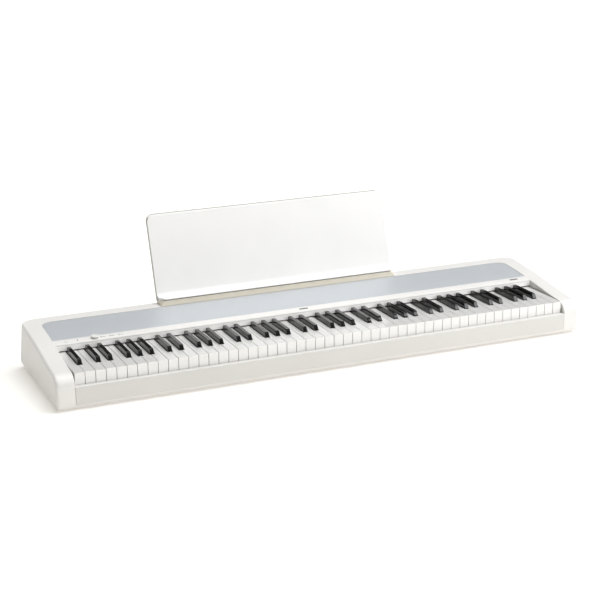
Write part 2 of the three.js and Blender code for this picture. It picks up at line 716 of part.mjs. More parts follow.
function restFace(margin) {
  const half = REST_HALF - margin;
  const top = REST_TOP - margin;
  const corner = REST_CORNER - margin;
  const shape = new THREE.Shape();
  shape.moveTo(-half, 0);
  shape.lineTo(half, 0);
  shape.lineTo(half, top - corner);
  shape.absarc(half - corner, top - corner, corner, 0, Math.PI / 2, false);
  shape.lineTo(-half + corner, top);
  shape.absarc(-half + corner, top - corner, corner, Math.PI / 2, Math.PI, false);
  return prism(shape, 0, 2 * CASE_DEPTH, ALONG_Y);
}

// Cuts a front corner: upright through the ledge, then sloping out to a square corner at the case.
function restCorner(side) {
  const reach = 1.3; // the cut runs past both ends of the shoulder
  const edge = (t) => [
    side * (REST_HALF - SHOULDER_X * (1 - t)),
    REST_FRONT + SHOULDER_Y * t,
    LEDGE_TOP - LEDGE_LIP - SHOULDER_DROP * t,
  ];
  const ends = [edge(1 - reach), edge(reach)];
  const above = ends.map(([x, y]) => [x, y, 2 * TALL]);
  const foot = [side * REST_HALF, BASE_FOOT, topHeight(BASE_FOOT)];
  const [x, y, z] = foot;
  const outside = [z, 2 * TALL].map((height) => [x + side * SHOULDER_X, y - SHOULDER_Y, height]);
  return wasm.Manifold.hull([foot, ...ends, ...above, ...outside]);
}

// The back of the panel is open, with a rim and upright ribs.
function restPocket() {
  const skin = 3.2;
  const rim = 4;
  const ribHalf = 1.5;
  const bays = 6;
  const low = LEDGE_TOP + 12;
  const high = REST_TOP - rim - 1;
  const depth = (z, out) => REST_PLANE + REST_SLOPE * z + out;
  const side = [
    [depth(low, skin), low], [depth(low, TALL), low], [depth(high, TALL), high], [depth(high, skin), high],
  ];
  const bay = (2 * (REST_HALF - rim)) / bays;
  const pockets = indices(0, bays).map((i) => {
    const left = -REST_HALF + rim + i * bay;
    return prism(side, left + (i > 0 ? ribHalf : 0), left + bay - (i < bays - 1 ? ribHalf : 0), ALONG_X);
  });
  return union(pockets).intersect(restFace(rim));
}

function musicRest() {
  const panel = prism(restSide(), -REST_HALF, REST_HALF, ALONG_X)
    .intersect(restFace(0))
    .subtract(union([restCorner(-1), restCorner(1), restPocket()]));
  const half = TAB_WIDTH / 2;
  const low = topHeight(TAB_REAR) - TAB_LENGTH;
  const tabs = [-TAB_OFFSET, TAB_OFFSET]
    .map((x) => box(x - half, x + half, TAB_FRONT, TAB_REAR, low, LEDGE_TOP - LEDGE_LIP));
  return union([panel, ...tabs]);
}

// ---- assembly -----------------------------------------------------------------------------
const LOOKS = {
  shell: { color: 0xf1f0ee, roughness: 0.45, metalness: 0 },
  rest: { color: 0xf3f2f0, roughness: 0.5, metalness: 0 },
  grille: { color: 0xc2c7cc, roughness: 0.4, metalness: 0.6 },
  whiteKey: { color: 0xf4f3f1, roughness: 0.25, metalness: 0 },
  blackKey: { color: 0x0b0b0c, roughness: 0.35, metalness: 0 },
  steel: { color: 0x9ea3a8, roughness: 0.4, metalness: 0.9 },
  underside: { color: 0xd9d8d4, roughness: 0.6, metalness: 0 },
  felt: { color: 0xa8322c, roughness: 1, metalness: 0 },
  rubber: { color: 0x2a2b2d, roughness: 0.85, metalness: 0 },
  board: { color: 0x1f6b3b, roughness: 0.5, metalness: 0.1 },
  socket: { color: 0x17181a, roughness: 0.5, metalness: 0 },
  cone: { color: 0x26272a, roughness: 0.9, metalness: 0 },
  button: { color: 0xefeeec, roughness: 0.4, metalness: 0 },
  led: { color: 0xc0202a, roughness: 0.2, metalness: 0 },
};

function piece(name, solid, look) {
  const mesh = new THREE.Mesh(toGeometry(solid), new THREE.MeshStandardMaterial(LOOKS[look]));
  mesh.name = name;
  return mesh;
}

const SINGLE_FROM = 16; // first white key of the two octaves of separate keys
const SINGLE_TO = 30;
const WHITE_LETTERS = 'CDEFGAB';

function keyboard() {
  const group = new THREE.Group();
  const low = [0, SINGLE_FROM];
  const high = [SINGLE_TO, WHITE_COUNT];
  for (const index of indices(SINGLE_FROM, SINGLE_TO)) {
    const octave = Math.floor((index + FIRST_WHITE_STEP) / WHITES_PER_OCTAVE);
    const letter = WHITE_LETTERS[whiteStep(index)].toLowerCase();
    group.add(piece(`key_${letter}${octave}`, whiteKey(index), 'whiteKey'));
    if (blackCentre(index) !== null) {
      group.add(piece(`key_${letter}_sharp${octave}`, blackKey(index), 'blackKey'));
    }
  }
  group.add(piece('white_keys_low', whiteComb(...low), 'whiteKey'));
  group.add(piece('white_keys_high', whiteComb(...high), 'whiteKey'));
  group.add(piece('black_keys_low', blackComb(...low), 'blackKey'));
  group.add(piece('black_keys_high', blackComb(...high), 'blackKey'));
  return group;
}

function keybed() {
  const group = new THREE.Group();
  const half = WELL_HALF - 3;
  group.add(piece('keybed_chassis', keybedChassis(), 'steel'));
  group.add(piece('upper_stop_rail', upperStopRail(), 'steel'));
  const upperFelt = strip(half, STOP_FRONT + 2, STOP_REAR - 2, TAIL_HIGH + 0.5, TAIL_HIGH + 3.3);
  const lowerFelt = strip(half, 24, 44, STOP_HAT + SEAT, 40.6);
  const contactBoard = strip(half - 1, BOARD_FRONT, BOARD_REAR, CONTACT_HAT + SEAT, 31.7);
  group.add(piece('upper_stop_felt', upperFelt, 'felt'));
  group.add(piece('lower_stop_felt', lowerFelt, 'felt'));
  group.add(piece('key_contact_board', contactBoard, 'board'));
  group.add(piece('key_contact_rubber', contactRubber(), 'rubber'));
  return group;
}

function controls() {
  const group = new THREE.Group();
  group.applyMatrix4(stripMatrix());
  const add = (name, solid, look, x) => {
    const mesh = piece(name, solid, look);
    mesh.position.x = x;
    group.add(mesh);
  };
  add('power_button', powerButton(), 'button', POWER_X);
  add('power_led', powerLed(), 'led', LED_X);
  add('volume_knob', volumeKnob(), 'button', KNOB_X);
  for (const [name, x] of Object.entries(BUTTON_XS)) {
    add(`${name}_button`, pushButton(), 'button', x);
  }
  add('panel_board', panelBoard(), 'board', 0);
  return group;
}

function speaker(side, label) {
  const group = new THREE.Group();
  const reach = 20; // the slope is taken over this far on either side
  const slope = Math.atan2(topHeight(SPEAKER_Y + reach) - topHeight(SPEAKER_Y - reach), 2 * reach);
  group.rotation.x = slope;
  group.position.set(side * SPEAKER_X, SPEAKER_Y, topHeight(SPEAKER_Y) - WALL - 0.8);
  group.add(piece(`speaker_${label}_frame`, speakerFrame(), 'socket'));
  group.add(piece(`speaker_${label}_cone`, speakerCone(), 'cone'));
  return group;
}

function electronics() {
  const group = new THREE.Group();
  group.add(piece('main_board', mainBoard(), 'board'));
  group.add(piece('dc_inlet', dcInlet(), 'socket'));
  group.add(piece('usb_socket', usbSocket(), 'socket'));
  group.add(piece('pedal_jack', roundJack(JACK_XS.pedal, 3.3, 14), 'socket'));
  group.add(piece('headphone_jack', roundJack(JACK_XS.phones, 3.3, 14), 'socket'));
  group.add(piece('line_jacks', lineJacks(), 'socket'));
  return group;
}

const FOOT_X = 560;
const FOOT_FRONT = 62;
const FOOT_REAR = 285;
const FEET = {
  front_left: [-FOOT_X, FOOT_FRONT],
  front_right: [FOOT_X, FOOT_FRONT],
  rear_left: [-FOOT_X, FOOT_REAR],
  rear_right: [FOOT_X, FOOT_REAR],
};

function feet() {
  const group = new THREE.Group();
  for (const [label, [x, y]] of Object.entries(FEET)) {
    const mesh = piece(`foot_${label}`, foot(), 'rubber');
    mesh.position.set(x, y, 0);
    group.add(mesh);
  }
  return group;
}

const instrument = new THREE.Group();
instrument.position.z = FOOT_HEIGHT;
instrument.add(piece('top_case', topCase(), 'shell'));
instrument.add(piece('bottom_case', bottomCase(), 'underside'));
instrument.add(piece('front_rail', frontRail(), 'shell'));
instrument.add(piece('grille_panel', grillePanel(), 'grille'));
const rest = piece('music_rest', musicRest(), 'rest');
rest.position.x = REST_X;
instrument.add(rest, keyboard(), keybed(), controls(), electronics());
instrument.add(speaker(-1, 'left'), speaker(1, 'right'));

const group = new THREE.Group();
group.position.y = -REST_BACK / 2;
group.add(instrument, feet());

export default group;
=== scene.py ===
"""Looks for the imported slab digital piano: case shells, 88 keys, grille, controls, music rest and sockets."""
import math

import bmesh
import bpy
import numpy as np
from mathutils import Matrix, Vector


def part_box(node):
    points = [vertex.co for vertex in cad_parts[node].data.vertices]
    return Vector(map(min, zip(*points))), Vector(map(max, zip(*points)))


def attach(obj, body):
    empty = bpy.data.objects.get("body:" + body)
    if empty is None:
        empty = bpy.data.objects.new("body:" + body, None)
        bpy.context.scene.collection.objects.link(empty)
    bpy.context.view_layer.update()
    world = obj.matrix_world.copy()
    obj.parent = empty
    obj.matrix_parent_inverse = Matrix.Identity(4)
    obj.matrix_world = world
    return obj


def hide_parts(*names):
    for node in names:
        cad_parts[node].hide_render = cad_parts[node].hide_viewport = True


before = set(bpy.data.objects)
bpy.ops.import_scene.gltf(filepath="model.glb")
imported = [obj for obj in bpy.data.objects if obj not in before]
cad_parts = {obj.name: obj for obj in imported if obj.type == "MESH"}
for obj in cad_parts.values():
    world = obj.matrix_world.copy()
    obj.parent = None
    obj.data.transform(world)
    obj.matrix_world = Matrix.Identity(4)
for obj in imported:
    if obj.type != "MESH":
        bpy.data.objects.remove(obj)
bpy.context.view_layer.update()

# ---- driving dimensions, in millimetres ------------------------------------------------------
# x runs along the keyboard from its middle, y back from the front face, z up from the underside.
MM = 0.001
case_low, case_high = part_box("top_case")
TO_ROW = Matrix.Translation((0, case_low.y, case_low.z)) @ Matrix.Scale(MM, 4)
HALF = case_high.x / MM
DEPTH = (case_high.y - case_low.y) / MM
WALL = 3.5
FIT = 0.4
FAR = 400.0  # cutters reach well past what they cut

TOP_Y = np.array([28.0, 70, 115, 165, 200, 245, 295, 329])
TOP_Z = np.array([68.0, 72.4, 79, 86.1, 91, 95.2, 99.4, 101.6])
NOSE_BASE = 41.0
END_ROUND = 7.0
REAR_CORNER = 40.0  # at the top; the rear corners are square at the bottom
CORNER_START = 14.0
PULL_START = 200.0  # from here back the ends of the deck curve in with the rear corners
FRONT_CORNER = 9.0  # at the nose
FRONT_FOOT = 4.0

TRAY_THICKNESS = 3

WELL_HALF = 613.5
FALLBOARD = 162.0  # the upright face behind the keys
FALLBOARD_BOTTOM = 70.8  # a little above the CAD's, so that the gap over the keys reads as a dark line
RAIL_HEIGHT = 40.9
RAIL_DEPTH = 11.4
RAIL_WALL = 3.0

WHITE_PITCH = 23.5
WHITE_COUNT = 52
KEY_GAP = 0.9
KEY_FRONT = 12.0
KEY_TOP = 68.2
KEY_UNDERSIDE = 50.2
LIP_BOTTOM = 37.0
LIP_DEPTH = 3.2
BLACK_FRONT = 62.0
BLACK_TOP = 79.7
BLACK_REAR = 158.0
BLACK_HALF = 5.4
BLACK_TOP_HALF = 4.45
NOTCH_HALF = 6.5
PLATE_REAR = 168.0
TAIL_LOW = 52.0
TAIL_HIGH = 60.0
BLACK_TAIL_HIGH = 58.0
WHITE_TAIL_END = 229.0
BLACK_TAIL_END = 238.0
COMB_BAR = 212.0

CHEEK_ROUND = 1.6
STRIP_ROUND = 3.8

GRILLE_HALF = 614.0
GRILLE_FRONT = 185.5
GRILLE_REAR = 298.7
GRILLE_CORNER = 24.0
RECESS_DEPTH = 2.1
GRILLE_DROP = 0.5
GRILLE_THICKNESS = 1.3
MESH_PITCH = 0.0022  # in metres, as materials are
MESH_HOLE = 0.00066

SPEAKER_X = 470.0
SPEAKER_Y = 262.0
VENT_RADIUS = 56.0
VENT_OVAL = 0.52
VENT_BOTTOM = KEY_TOP + 8
STRIP_Y = 175.0
POWER_X = -584.0
LED_X = -559.0
KNOB_X = -519.0
KNOB_RADIUS = 9.5
BUTTON_LENGTH = 13.0
BUTTON_WIDTH = 6.0
MARKS = {"mark_centre": (-17.5, 6.0), "mark_right": (563, 586)}
MARK_Y = 0.5
MARK_WIDTH = 5.8
BUTTON_XS = {"sound_button": -500.0, "song_button": -479.0, "metronome_button": -458.0}

REST_X = -10.0
REST_HALF = 311.0
REST_SLOPE = 0.32
REST_PLANE = 289.8
REST_TOP = 304.98  # just under the CAD's top
REST_THICKNESS = 11.6
REST_FRONT = 303.0
LEDGE_TOP = 117.0
REST_FILLET = 14.0
LEDGE_LIP = 2.5
# the groove's faces are painted dark brown as painted shade in the gap under the ledge
GROOVE = 2.0  # dark line between the ledge and the base
BASE_TOP = 106.0
BASE_FOOT = 299.0
BASE_HEEL = 329.0
SHOULDER_X = 13.0
SHOULDER_Y = 15.0
SHOULDER_DROP = 5.5
REST_CORNER = 18.0
CROWN = 5.0  # rounding of the rest's top, at the back
BROW = 4.0  # and at the front
POCKET_SKIN = 3.2
POCKET_RIM = 4.0
POCKET_COUNT = 6
POCKET_FOOT = 12.0
RIB_HALF = 1.5
TAB_OFFSET = 200.0
TAB_HALF = 30.0
TAB_FRONT = 320.0
TAB_REAR = 326.0
TAB_LENGTH = 14.0
SLOT_FIT = 0.8

JACK_HEIGHT = 24.0
JACK_HOLE = 6.5
HOLE_REACH = 12.0  # cutters of small openings reach this far to both sides of the surface
JACK_XS = {"dc_inlet": -590.0, "usb_socket": -562.0, "pedal_jack": -534.0,
           "headphone_jack": -506.0, "line_jacks": -470.0}
FEET = {"foot_front_left": (-560, 62), "foot_front_right": (560, 62),
        "foot_rear_left": (-560, 285), "foot_rear_right": (560, 285)}

CAMERA_PLACE = (-1324.7, -2914.0, 1114.5)
CAMERA_YAW = 0.4011
CAMERA_PITCH = 0.2908
CAMERA_ROLL = -0.0142
CAMERA_LENS = 88.26
FLOOR_HALF = 200  # metres


# ---- materials -------------------------------------------------------------------------------
NOISE_LOW, NOISE_HIGH = 0.3, 0.7  # nearly all of a noise texture lies between these


def start_material(name, roughness, metallic=0.0):
    material = bpy.data.materials.new(name)
    material.use_nodes = True
    tree = material.node_tree
    shader = tree.nodes["Principled BSDF"]
    shader.inputs["Roughness"].default_value = roughness
    shader.inputs["Metallic"].default_value = metallic
    return material, tree, shader


def noise(tree, scale, detail=2.0):
    place = tree.nodes.new("ShaderNodeTexCoord")
    texture = tree.nodes.new("ShaderNodeTexNoise")
    texture.inputs["Scale"].default_value = scale
    texture.inputs["Detail"].default_value = detail
    tree.links.new(place.outputs["Object"], texture.inputs["Vector"])
    return texture.outputs["Fac"]


def map_range(tree, source, from_low, from_high, to_low=0.0, to_high=1.0, smooth=True):
    """Carries a value from one range to another, along a smooth step or a straight line."""
    node = tree.nodes.new("ShaderNodeMapRange")
    if smooth:
        node.interpolation_type = "SMOOTHSTEP"
    limits = {"From Min": from_low, "From Max": from_high, "To Min": to_low, "To Max": to_high}
    for name, value in limits.items():
        node.inputs[name].default_value = value
    tree.links.new(source, node.inputs["Value"])
    return node.outputs["Result"]


def spread(tree, source, low, high):
    """Spreads a noise texture over the range from low to high."""
    return map_range(tree, source, NOISE_LOW, NOISE_HIGH, low, high, smooth=False)


def tint(tree, shader, source, dark, light, low=NOISE_LOW, high=NOISE_HIGH):
    """Base colour that goes from dark to light as the source goes from low to high."""
    ramp = tree.nodes.new("ShaderNodeValToRGB")
    ends = ramp.color_ramp.elements
    ends[0].position, ends[1].position = low, high
    ends[0].color = (*dark, 1)
    ends[1].color = (*light, 1)
    tree.links.new(source, ramp.inputs["Fac"])
    tree.links.new(ramp.outputs["Color"], shader.inputs["Base Color"])


def grain(tree, shader, source, distance, strength=0.5):
    bump = tree.nodes.new("ShaderNodeBump")
    bump.inputs["Distance"].default_value = distance
    bump.inputs["Strength"].default_value = strength
    tree.links.new(source, bump.inputs["Height"])
    tree.links.new(bump.outputs["Normal"], shader.inputs["Normal"])


def shade(colour, factor):
    """A colour made darker or lighter."""
    return tuple(min(channel * factor, 1.0) for channel in colour)


def moulded(name, colour, roughness, grain_scale=1800.0, grain_distance=0.00003, variation=0.03,
            coat=0.0, glow=0.0):
    """Injection-moulded plastic: faint cloudy colour, uneven roughness and a fine spark-eroded grain."""
    material, tree, shader = start_material(name, roughness)
    cloud = noise(tree, 9.0, 4.0)
    tint(tree, shader, cloud, shade(colour, 1 - variation), colour)
    smear = noise(tree, 60.0, 3.0)
    tree.links.new(spread(tree, smear, roughness * 0.88, roughness * 1.12), shader.inputs["Roughness"])
    grain(tree, shader, noise(tree, grain_scale, 2.0), grain_distance)
    shader.inputs["Coat Weight"].default_value = coat
    shader.inputs["Coat Roughness"].default_value = 0.08
    shader.inputs["Emission Color"].default_value = (*colour, 1)
    shader.inputs["Emission Strength"].default_value = glow
    return material


def speckled(name, dark, light, roughness, scale, distance):
    """Mottled surfaces: felt, rubber, speaker paper and circuit board."""
    material, tree, shader = start_material(name, roughness)
    source = noise(tree, scale, 6.0)
    tint(tree, shader, source, dark, light)
    grain(tree, shader, source, distance, 1.0)
    return material


def brushed(name, dark, light, roughness, stretch=(4.0, 900.0, 900.0)):
    """Metal with a fine lengthwise brush."""
    material, tree, shader = start_material(name, roughness, 1.0)
    place = tree.nodes.new("ShaderNodeTexCoord")
    mapping = tree.nodes.new("ShaderNodeMapping")
    mapping.inputs["Scale"].default_value = stretch
    texture = tree.nodes.new("ShaderNodeTexNoise")
    texture.inputs["Scale"].default_value = 1.0
    texture.inputs["Detail"].default_value = 4.0
    tree.links.new(place.outputs["Object"], mapping.inputs["Vector"])
    tree.links.new(mapping.outputs["Vector"], texture.inputs["Vector"])
    tint(tree, shader, texture.outputs["Fac"], dark, light)
    tree.links.new(spread(tree, texture.outputs["Fac"], roughness * 0.8, roughness * 1.2),
                   shader.inputs["Roughness"])
    return material


def math_node(tree, operation, first, second=None):
    """One step of arithmetic on one or two values, each a number or a socket."""
    node = tree.nodes.new("ShaderNodeMath")
    node.operation = operation
    for socket, value in ((0, first), (1, second)):
        if value is None:
            continue
        if isinstance(value, (int, float)):
            node.inputs[socket].default_value = value
        else:
            tree.links.new(value, node.inputs[socket])
    return node.outputs[0]


def lattice_distance(tree, x, y, shift):
    """Distance in metres to the nearest point of a rectangular lattice shifted by a share of its cell."""
    parts = []
    for source, pitch in ((x, MESH_PITCH), (y, MESH_PITCH * math.sqrt(3))):
        count = math_node(tree, "ADD", math_node(tree, "DIVIDE", source, pitch), 50 + shift)
        cell = math_node(tree, "FRACT", count)
        offset = math_node(tree, "MULTIPLY", math_node(tree, "SUBTRACT", cell, 0.5), pitch)
        parts.append(math_node(tree, "MULTIPLY", offset, offset))
    return math_node(tree, "SQRT", math_node(tree, "ADD", *parts))


def perforated(name, metal, hole):
    """Thin silver-painted sheet with staggered round holes."""
    material, tree, shader = start_material(name, 0.42, 0.25)
    place = tree.nodes.new("ShaderNodeTexCoord")
    split = tree.nodes.new("ShaderNodeSeparateXYZ")
    tree.links.new(place.outputs["Object"], split.inputs["Vector"])
    across, along = split.outputs["X"], split.outputs["Y"]
    distances = [lattice_distance(tree, across, along, shift) for shift in (0.0, 0.5)]
    nearest = math_node(tree, "MINIMUM", *distances)
    edge = map_range(tree, nearest, MESH_HOLE * 0.8, MESH_HOLE * 1.15)
    tint(tree, shader, edge, hole, metal, 0.0, 1.0)
    grain(tree, shader, edge, 0.0003, 0.6)
    return material


def glowing(name, colour, strength):
    """A lens lit from within."""
    material, tree, shader = start_material(name, 0.15)
    tint(tree, shader, noise(tree, 900.0), shade(colour, 0.85), colour)
    shader.inputs["Emission Color"].default_value = (*colour, 1)
    shader.inputs["Emission Strength"].default_value = strength
    return material


SHELL = moulded("shell_plastic", (0.825, 0.81, 0.785), 0.42)
# painted shade: a darker copy of the case's white plastic for the rail's front face
RAIL = moulded("rail_plastic_painted_shade", (0.69, 0.675, 0.65), 0.4)
# painted light: the fallboard face is lighter than the rest of the shell and given a faint glow to lift it out
# of its shade; the coat is its real gloss
FALL = moulded("fallboard_painted_light", (0.97, 0.96, 0.945), 0.16, grain_distance=0.00001,
               coat=0.3, glow=0.18)
UNDERSIDE = moulded("underside_plastic", (0.74, 0.735, 0.72), 0.6, 900.0, 0.00008)
# painted light: a lighter copy of the case's white plastic, keeping the leaning panel bright
REST = moulded("rest_plastic_painted_light", (0.925, 0.92, 0.91), 0.4)
# painted shade: the base is white like the panel; its beige stands in for the warm shade under the ledge
REST_BASE_SHADE = moulded("rest_base_painted_shade", (0.765, 0.715, 0.60), 0.5)
# painted shade: dark brown for the shadow in the groove under the ledge
REST_GROOVE_SHADE = moulded("rest_groove_painted_shade", (0.16, 0.14, 0.10), 0.6)
# painted shade: a darker copy of the panel's plastic for its shaded end faces and the top of its crown
REST_EDGE_SHADE = moulded("rest_edge_painted_shade", (0.46, 0.448, 0.42), 0.5)
KEY_WHITE = moulded("white_key_plastic", (0.735, 0.725, 0.71), 0.2, 700.0, 0.000006, 0.02, 0.25)
KEY_BLACK = moulded("black_key_plastic", (0.004, 0.004, 0.005), 0.1, 1500.0, 0.000001, 0.25, 0.15)
BUTTON = moulded("button_plastic", (0.80, 0.795, 0.775), 0.35)
# painted light: a lighter copy of the white keys' plastic for their front faces, which look brighter than the
# tops
KEY_FRONT_LIGHT = moulded("white_key_front_painted_light", (0.885, 0.875, 0.86), 0.25, 700.0, 0.000006, 0.02)
MARK = moulded("printed_mark", (0.10, 0.10, 0.11), 0.5)
DARK = moulded("dark_plastic", (0.02, 0.02, 0.022), 0.45)
CHASSIS = moulded("chassis_plastic", (0.05, 0.052, 0.055), 0.55, 900.0, 0.0001)
GRILLE = perforated("grille_sheet", (0.70, 0.73, 0.765), (0.29, 0.305, 0.32))
STEEL = brushed("brushed_steel", (0.42, 0.43, 0.44), (0.62, 0.63, 0.64), 0.3)
NICKEL = brushed("nickel_plate", (0.55, 0.54, 0.52), (0.75, 0.74, 0.72), 0.2, (600.0, 600.0, 30.0))
FELT = speckled("red_felt", (0.20, 0.025, 0.02), (0.42, 0.06, 0.05), 0.95, 1600.0, 0.0004)
RUBBER = speckled("black_rubber", (0.012, 0.012, 0.013), (0.03, 0.03, 0.032), 0.8, 1200.0, 0.00015)
GREY_RUBBER = speckled("dome_rubber", (0.10, 0.10, 0.105), (0.17, 0.17, 0.175), 0.7, 1200.0, 0.00012)
PAPER = speckled("cone_paper", (0.015, 0.015, 0.016), (0.045, 0.045, 0.047), 0.85, 2200.0, 0.0003)
BOARD = speckled("circuit_board", (0.012, 0.10, 0.035), (0.03, 0.17, 0.06), 0.35, 420.0, 0.00005)
LED = glowing("led_lens", (0.20, 0.003, 0.006), 0.04)


# ---- mesh helpers ----------------------------------------------------------------------------
def build(name, vertices, faces, matrix=TO_ROW):
    """An object from points and faces, with its faces turned outwards."""
    mesh = bpy.data.meshes.new(name)
    mesh.from_pydata([tuple(v) for v in vertices], [], faces)
    mesh.transform(matrix)
    mesh.update()
    thing = bpy.data.objects.new(name, mesh)
    bpy.context.scene.collection.objects.link(thing)
    tidy = bmesh.new()
    tidy.from_mesh(mesh)
    bmesh.ops.recalc_face_normals(tidy, faces=tidy.faces)
    tidy.to_mesh(mesh)
    tidy.free()
    return thing


def skin(rings):
    """Vertices and side faces of a skin over rings that have the same number of points."""
    count = len(rings[0])
    vertices = [point for ring in rings for point in ring]
    faces = []
    for r in range(len(rings) - 1):
        for i in range(count):
            j = (i + 1) % count
            faces.append((r * count + i, r * count + j, (r + 1) * count + j, (r + 1) * count + i))
    return vertices, faces


def rings_to_solid(rings):
    """A skin over the rings, closed by a flat face at each end."""
    count = len(rings[0])
    vertices, faces = skin(rings)
    faces.append(tuple(reversed(range(count))))
    faces.append(tuple((len(rings) - 1) * count + i for i in range(count)))
    return vertices, faces


def loft(name, rings, matrix=TO_ROW):
    return build(name, *rings_to_solid(rings), matrix)


def slab(name, outline, low, high, axis="z", matrix=TO_ROW):
    """A straight prism of an outline: (x, y) along z, (y, z) along x, or (x, z) along y."""
    lift = {"z": lambda u, v, w: (u, v, w),
            "x": lambda u, v, w: (w, u, v),
            "y": lambda u, v, w: (u, w, v)}[axis]
    return loft(name, [[lift(u, v, w) for u, v in outline] for w in (low, high)], matrix)


def block(name, x0, x1, y0, y1, z0, z1, matrix=TO_ROW):
    return slab(name, [(x0, y0), (x1, y0), (x1, y1), (x0, y1)], z0, z1, "z", matrix)


def turned(name, profile, sides=48, matrix=TO_ROW, oval=1.0):
    """A body of revolution about z from (radius, height) points that start and end on the axis."""
    inner = profile[1:-1]
    rings = []
    for radius, height in inner:
        angles = [2 * math.pi * i / sides for i in range(sides)]
        rings.append([(radius * math.cos(a), oval * radius * math.sin(a), height) for a in angles])
    vertices, faces = skin(rings)
    for pole, ring in ((profile[0], 0), (profile[-1], len(rings) - 1)):
        vertices.append((0, 0, pole[1]))
        tip, first = len(vertices) - 1, ring * sides
        faces += [(tip, first + i, first + (i + 1) % sides) for i in range(sides)]
    return build(name, vertices, faces, matrix)


def arc(centre_u, centre_v, radius, start, end, steps):
    """Points of an arc, between two angles in degrees."""
    angles = [math.radians(start + (end - start) * i / steps) for i in range(steps + 1)]
    return [(centre_u + radius * math.cos(a), centre_v + radius * math.sin(a)) for a in angles]


def curve(start, control_a, control_b, end, steps):
    """Points of a cubic Bezier curve."""
    points = []
    for i in range(steps + 1):
        t = i / steps
        weights = ((1 - t) ** 3, 3 * t * (1 - t) ** 2, 3 * t * t * (1 - t), t ** 3)
        corners = (start, control_a, control_b, end)
        points.append(tuple(sum(w * c[k] for w, c in zip(weights, corners)) for k in (0, 1)))
    return points


def pill(length, width, steps=12):
    """Outline of a bar with round ends, about its middle."""
    radius = width / 2
    straight = length / 2 - radius
    return arc(straight, 0, radius, -90, 90, steps) + arc(-straight, 0, radius, 90, 270, steps)


def settle(thing):
    """Applies a piece's modifiers to its mesh."""
    bpy.context.view_layer.update()
    evaluated = thing.evaluated_get(bpy.context.evaluated_depsgraph_get())
    mesh = bpy.data.meshes.new_from_object(evaluated)
    old = thing.data
    thing.modifiers.clear()
    thing.data = mesh
    bpy.data.meshes.remove(old)


def carve(thing, cutters, operation="DIFFERENCE"):
    """Cuts with, joins to, or keeps what lies inside each cutter, which is used up."""
    for cutter in cutters:
        change = thing.modifiers.new("carve", "BOOLEAN")
        change.object = cutter
        change.operation = operation
        change.solver = "EXACT"
    settle(thing)
    for cutter in cutters:
        bpy.data.objects.remove(cutter)
    return thing


def soften(thing, width, segments=3, angle=35.0, weighted=False):
    """Rounds the edges, then lets the flat faces keep their own normals."""
    if width:
        bevel = thing.modifiers.new("soften", "BEVEL")
        bevel.width = width * MM
        bevel.segments = segments
        bevel.limit_method = "WEIGHT" if weighted else "ANGLE"
        bevel.angle_limit = math.radians(angle)
        bevel.use_clamp_overlap = not weighted
        bevel.miter_outer = "MITER_ARC"
        settle(thing)
    thing.data.shade_smooth()
    thing.data.set_sharp_from_angle(angle=math.radians(angle))
    normals = thing.modifiers.new("normals", "WEIGHTED_NORMAL")
    normals.keep_sharp = True


def dress(thing, body, materials, replaces=()):
    """Gives a piece its materials and its place in the assembly."""
    thing.data.materials.clear()
    for material in materials:
        thing.data.materials.append(material)
    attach(thing, body)
    if replaces:
        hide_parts(*replaces)


# ---- case ------------------------------------------------------------------------------------
def top_height(depth):
    """Height of the case's top surface, a smooth curve through the chosen points."""
    slopes = np.gradient(TOP_Z, TOP_Y)
    i = int(np.clip(np.searchsorted(TOP_Y, depth) - 1, 0, len(TOP_Y) - 2))
    span = TOP_Y[i + 1] - TOP_Y[i]
    t = (depth - TOP_Y[i]) / span
    rise = (2 * t**3 - 3 * t**2 + 1) * TOP_Z[i] + (3 * t**2 - 2 * t**3) * TOP_Z[i + 1]
    return float(rise + span * ((t**3 - 2 * t**2 + t) * slopes[i] + (t**3 - t**2) * slopes[i + 1]))


def corner_inset(distance, radius):
    """How far a rounded corner stands back, at a distance from the end of the case."""
    if distance >= radius or radius <= 0:
        return 0.0
    return radius - math.sqrt(max(radius**2 - (radius - distance) ** 2, 0.0))


def rear_inset(distance, height, margin):
    """Setback of the back wall near an end: square at the bottom, widely rounded at the top."""
    share = min(max((height - CORNER_START) / (TOP_Z[-1] - CORNER_START), 0.0), 1.0)
    return corner_inset(distance, (REAR_CORNER - margin) * share)


def case_outline(margin, distance, bottom):
    """Side outline of the case at a distance from its end, drawn in by margin all round."""
    reach = 0.55  # how full the rounded corners are
    top = corner_inset(distance, END_ROUND - margin)
    nose_y, nose_z = TOP_Y[0], TOP_Z[0] - margin - top
    face = margin + corner_inset(distance, FRONT_CORNER - margin)
    slope = (TOP_Z[1] - TOP_Z[0]) / (TOP_Y[1] - TOP_Y[0])
    nose = curve((face, NOSE_BASE), (face, NOSE_BASE + reach * (nose_z - NOSE_BASE)),
                 (nose_y - reach * (nose_y - face), nose_z - reach * (nose_y - face) * slope),
                 (nose_y, nose_z), 14)
    depths = np.linspace(TOP_Y[0], TOP_Y[-1], 48)[1:]
    rear = rear_inset(distance, TOP_Z[-1], margin)
    pull = rear * np.clip((depths - PULL_START) / (TOP_Y[-1] - PULL_START), 0, 1) ** 2
    line = [(y - p, top_height(y) - margin - top) for y, p in zip(depths, pull)]
    last_y, last_z = line[-1]
    end = last_z - END_ROUND + margin
    heights = np.linspace(end, CORNER_START, 10)
    wall = [(DEPTH - margin - rear_inset(distance, z, margin), z) for z in heights]
    back = wall[0][0]
    bend = curve(line[-1], (last_y + reach * (back - last_y), last_z),
                 (back, end + reach * (last_z - end)), wall[0], 8)
    foot = margin + corner_inset(distance, FRONT_FOOT - margin)
    return [(foot, bottom), *nose, *line, *bend[1:], *wall[1:], (DEPTH - margin, bottom)]


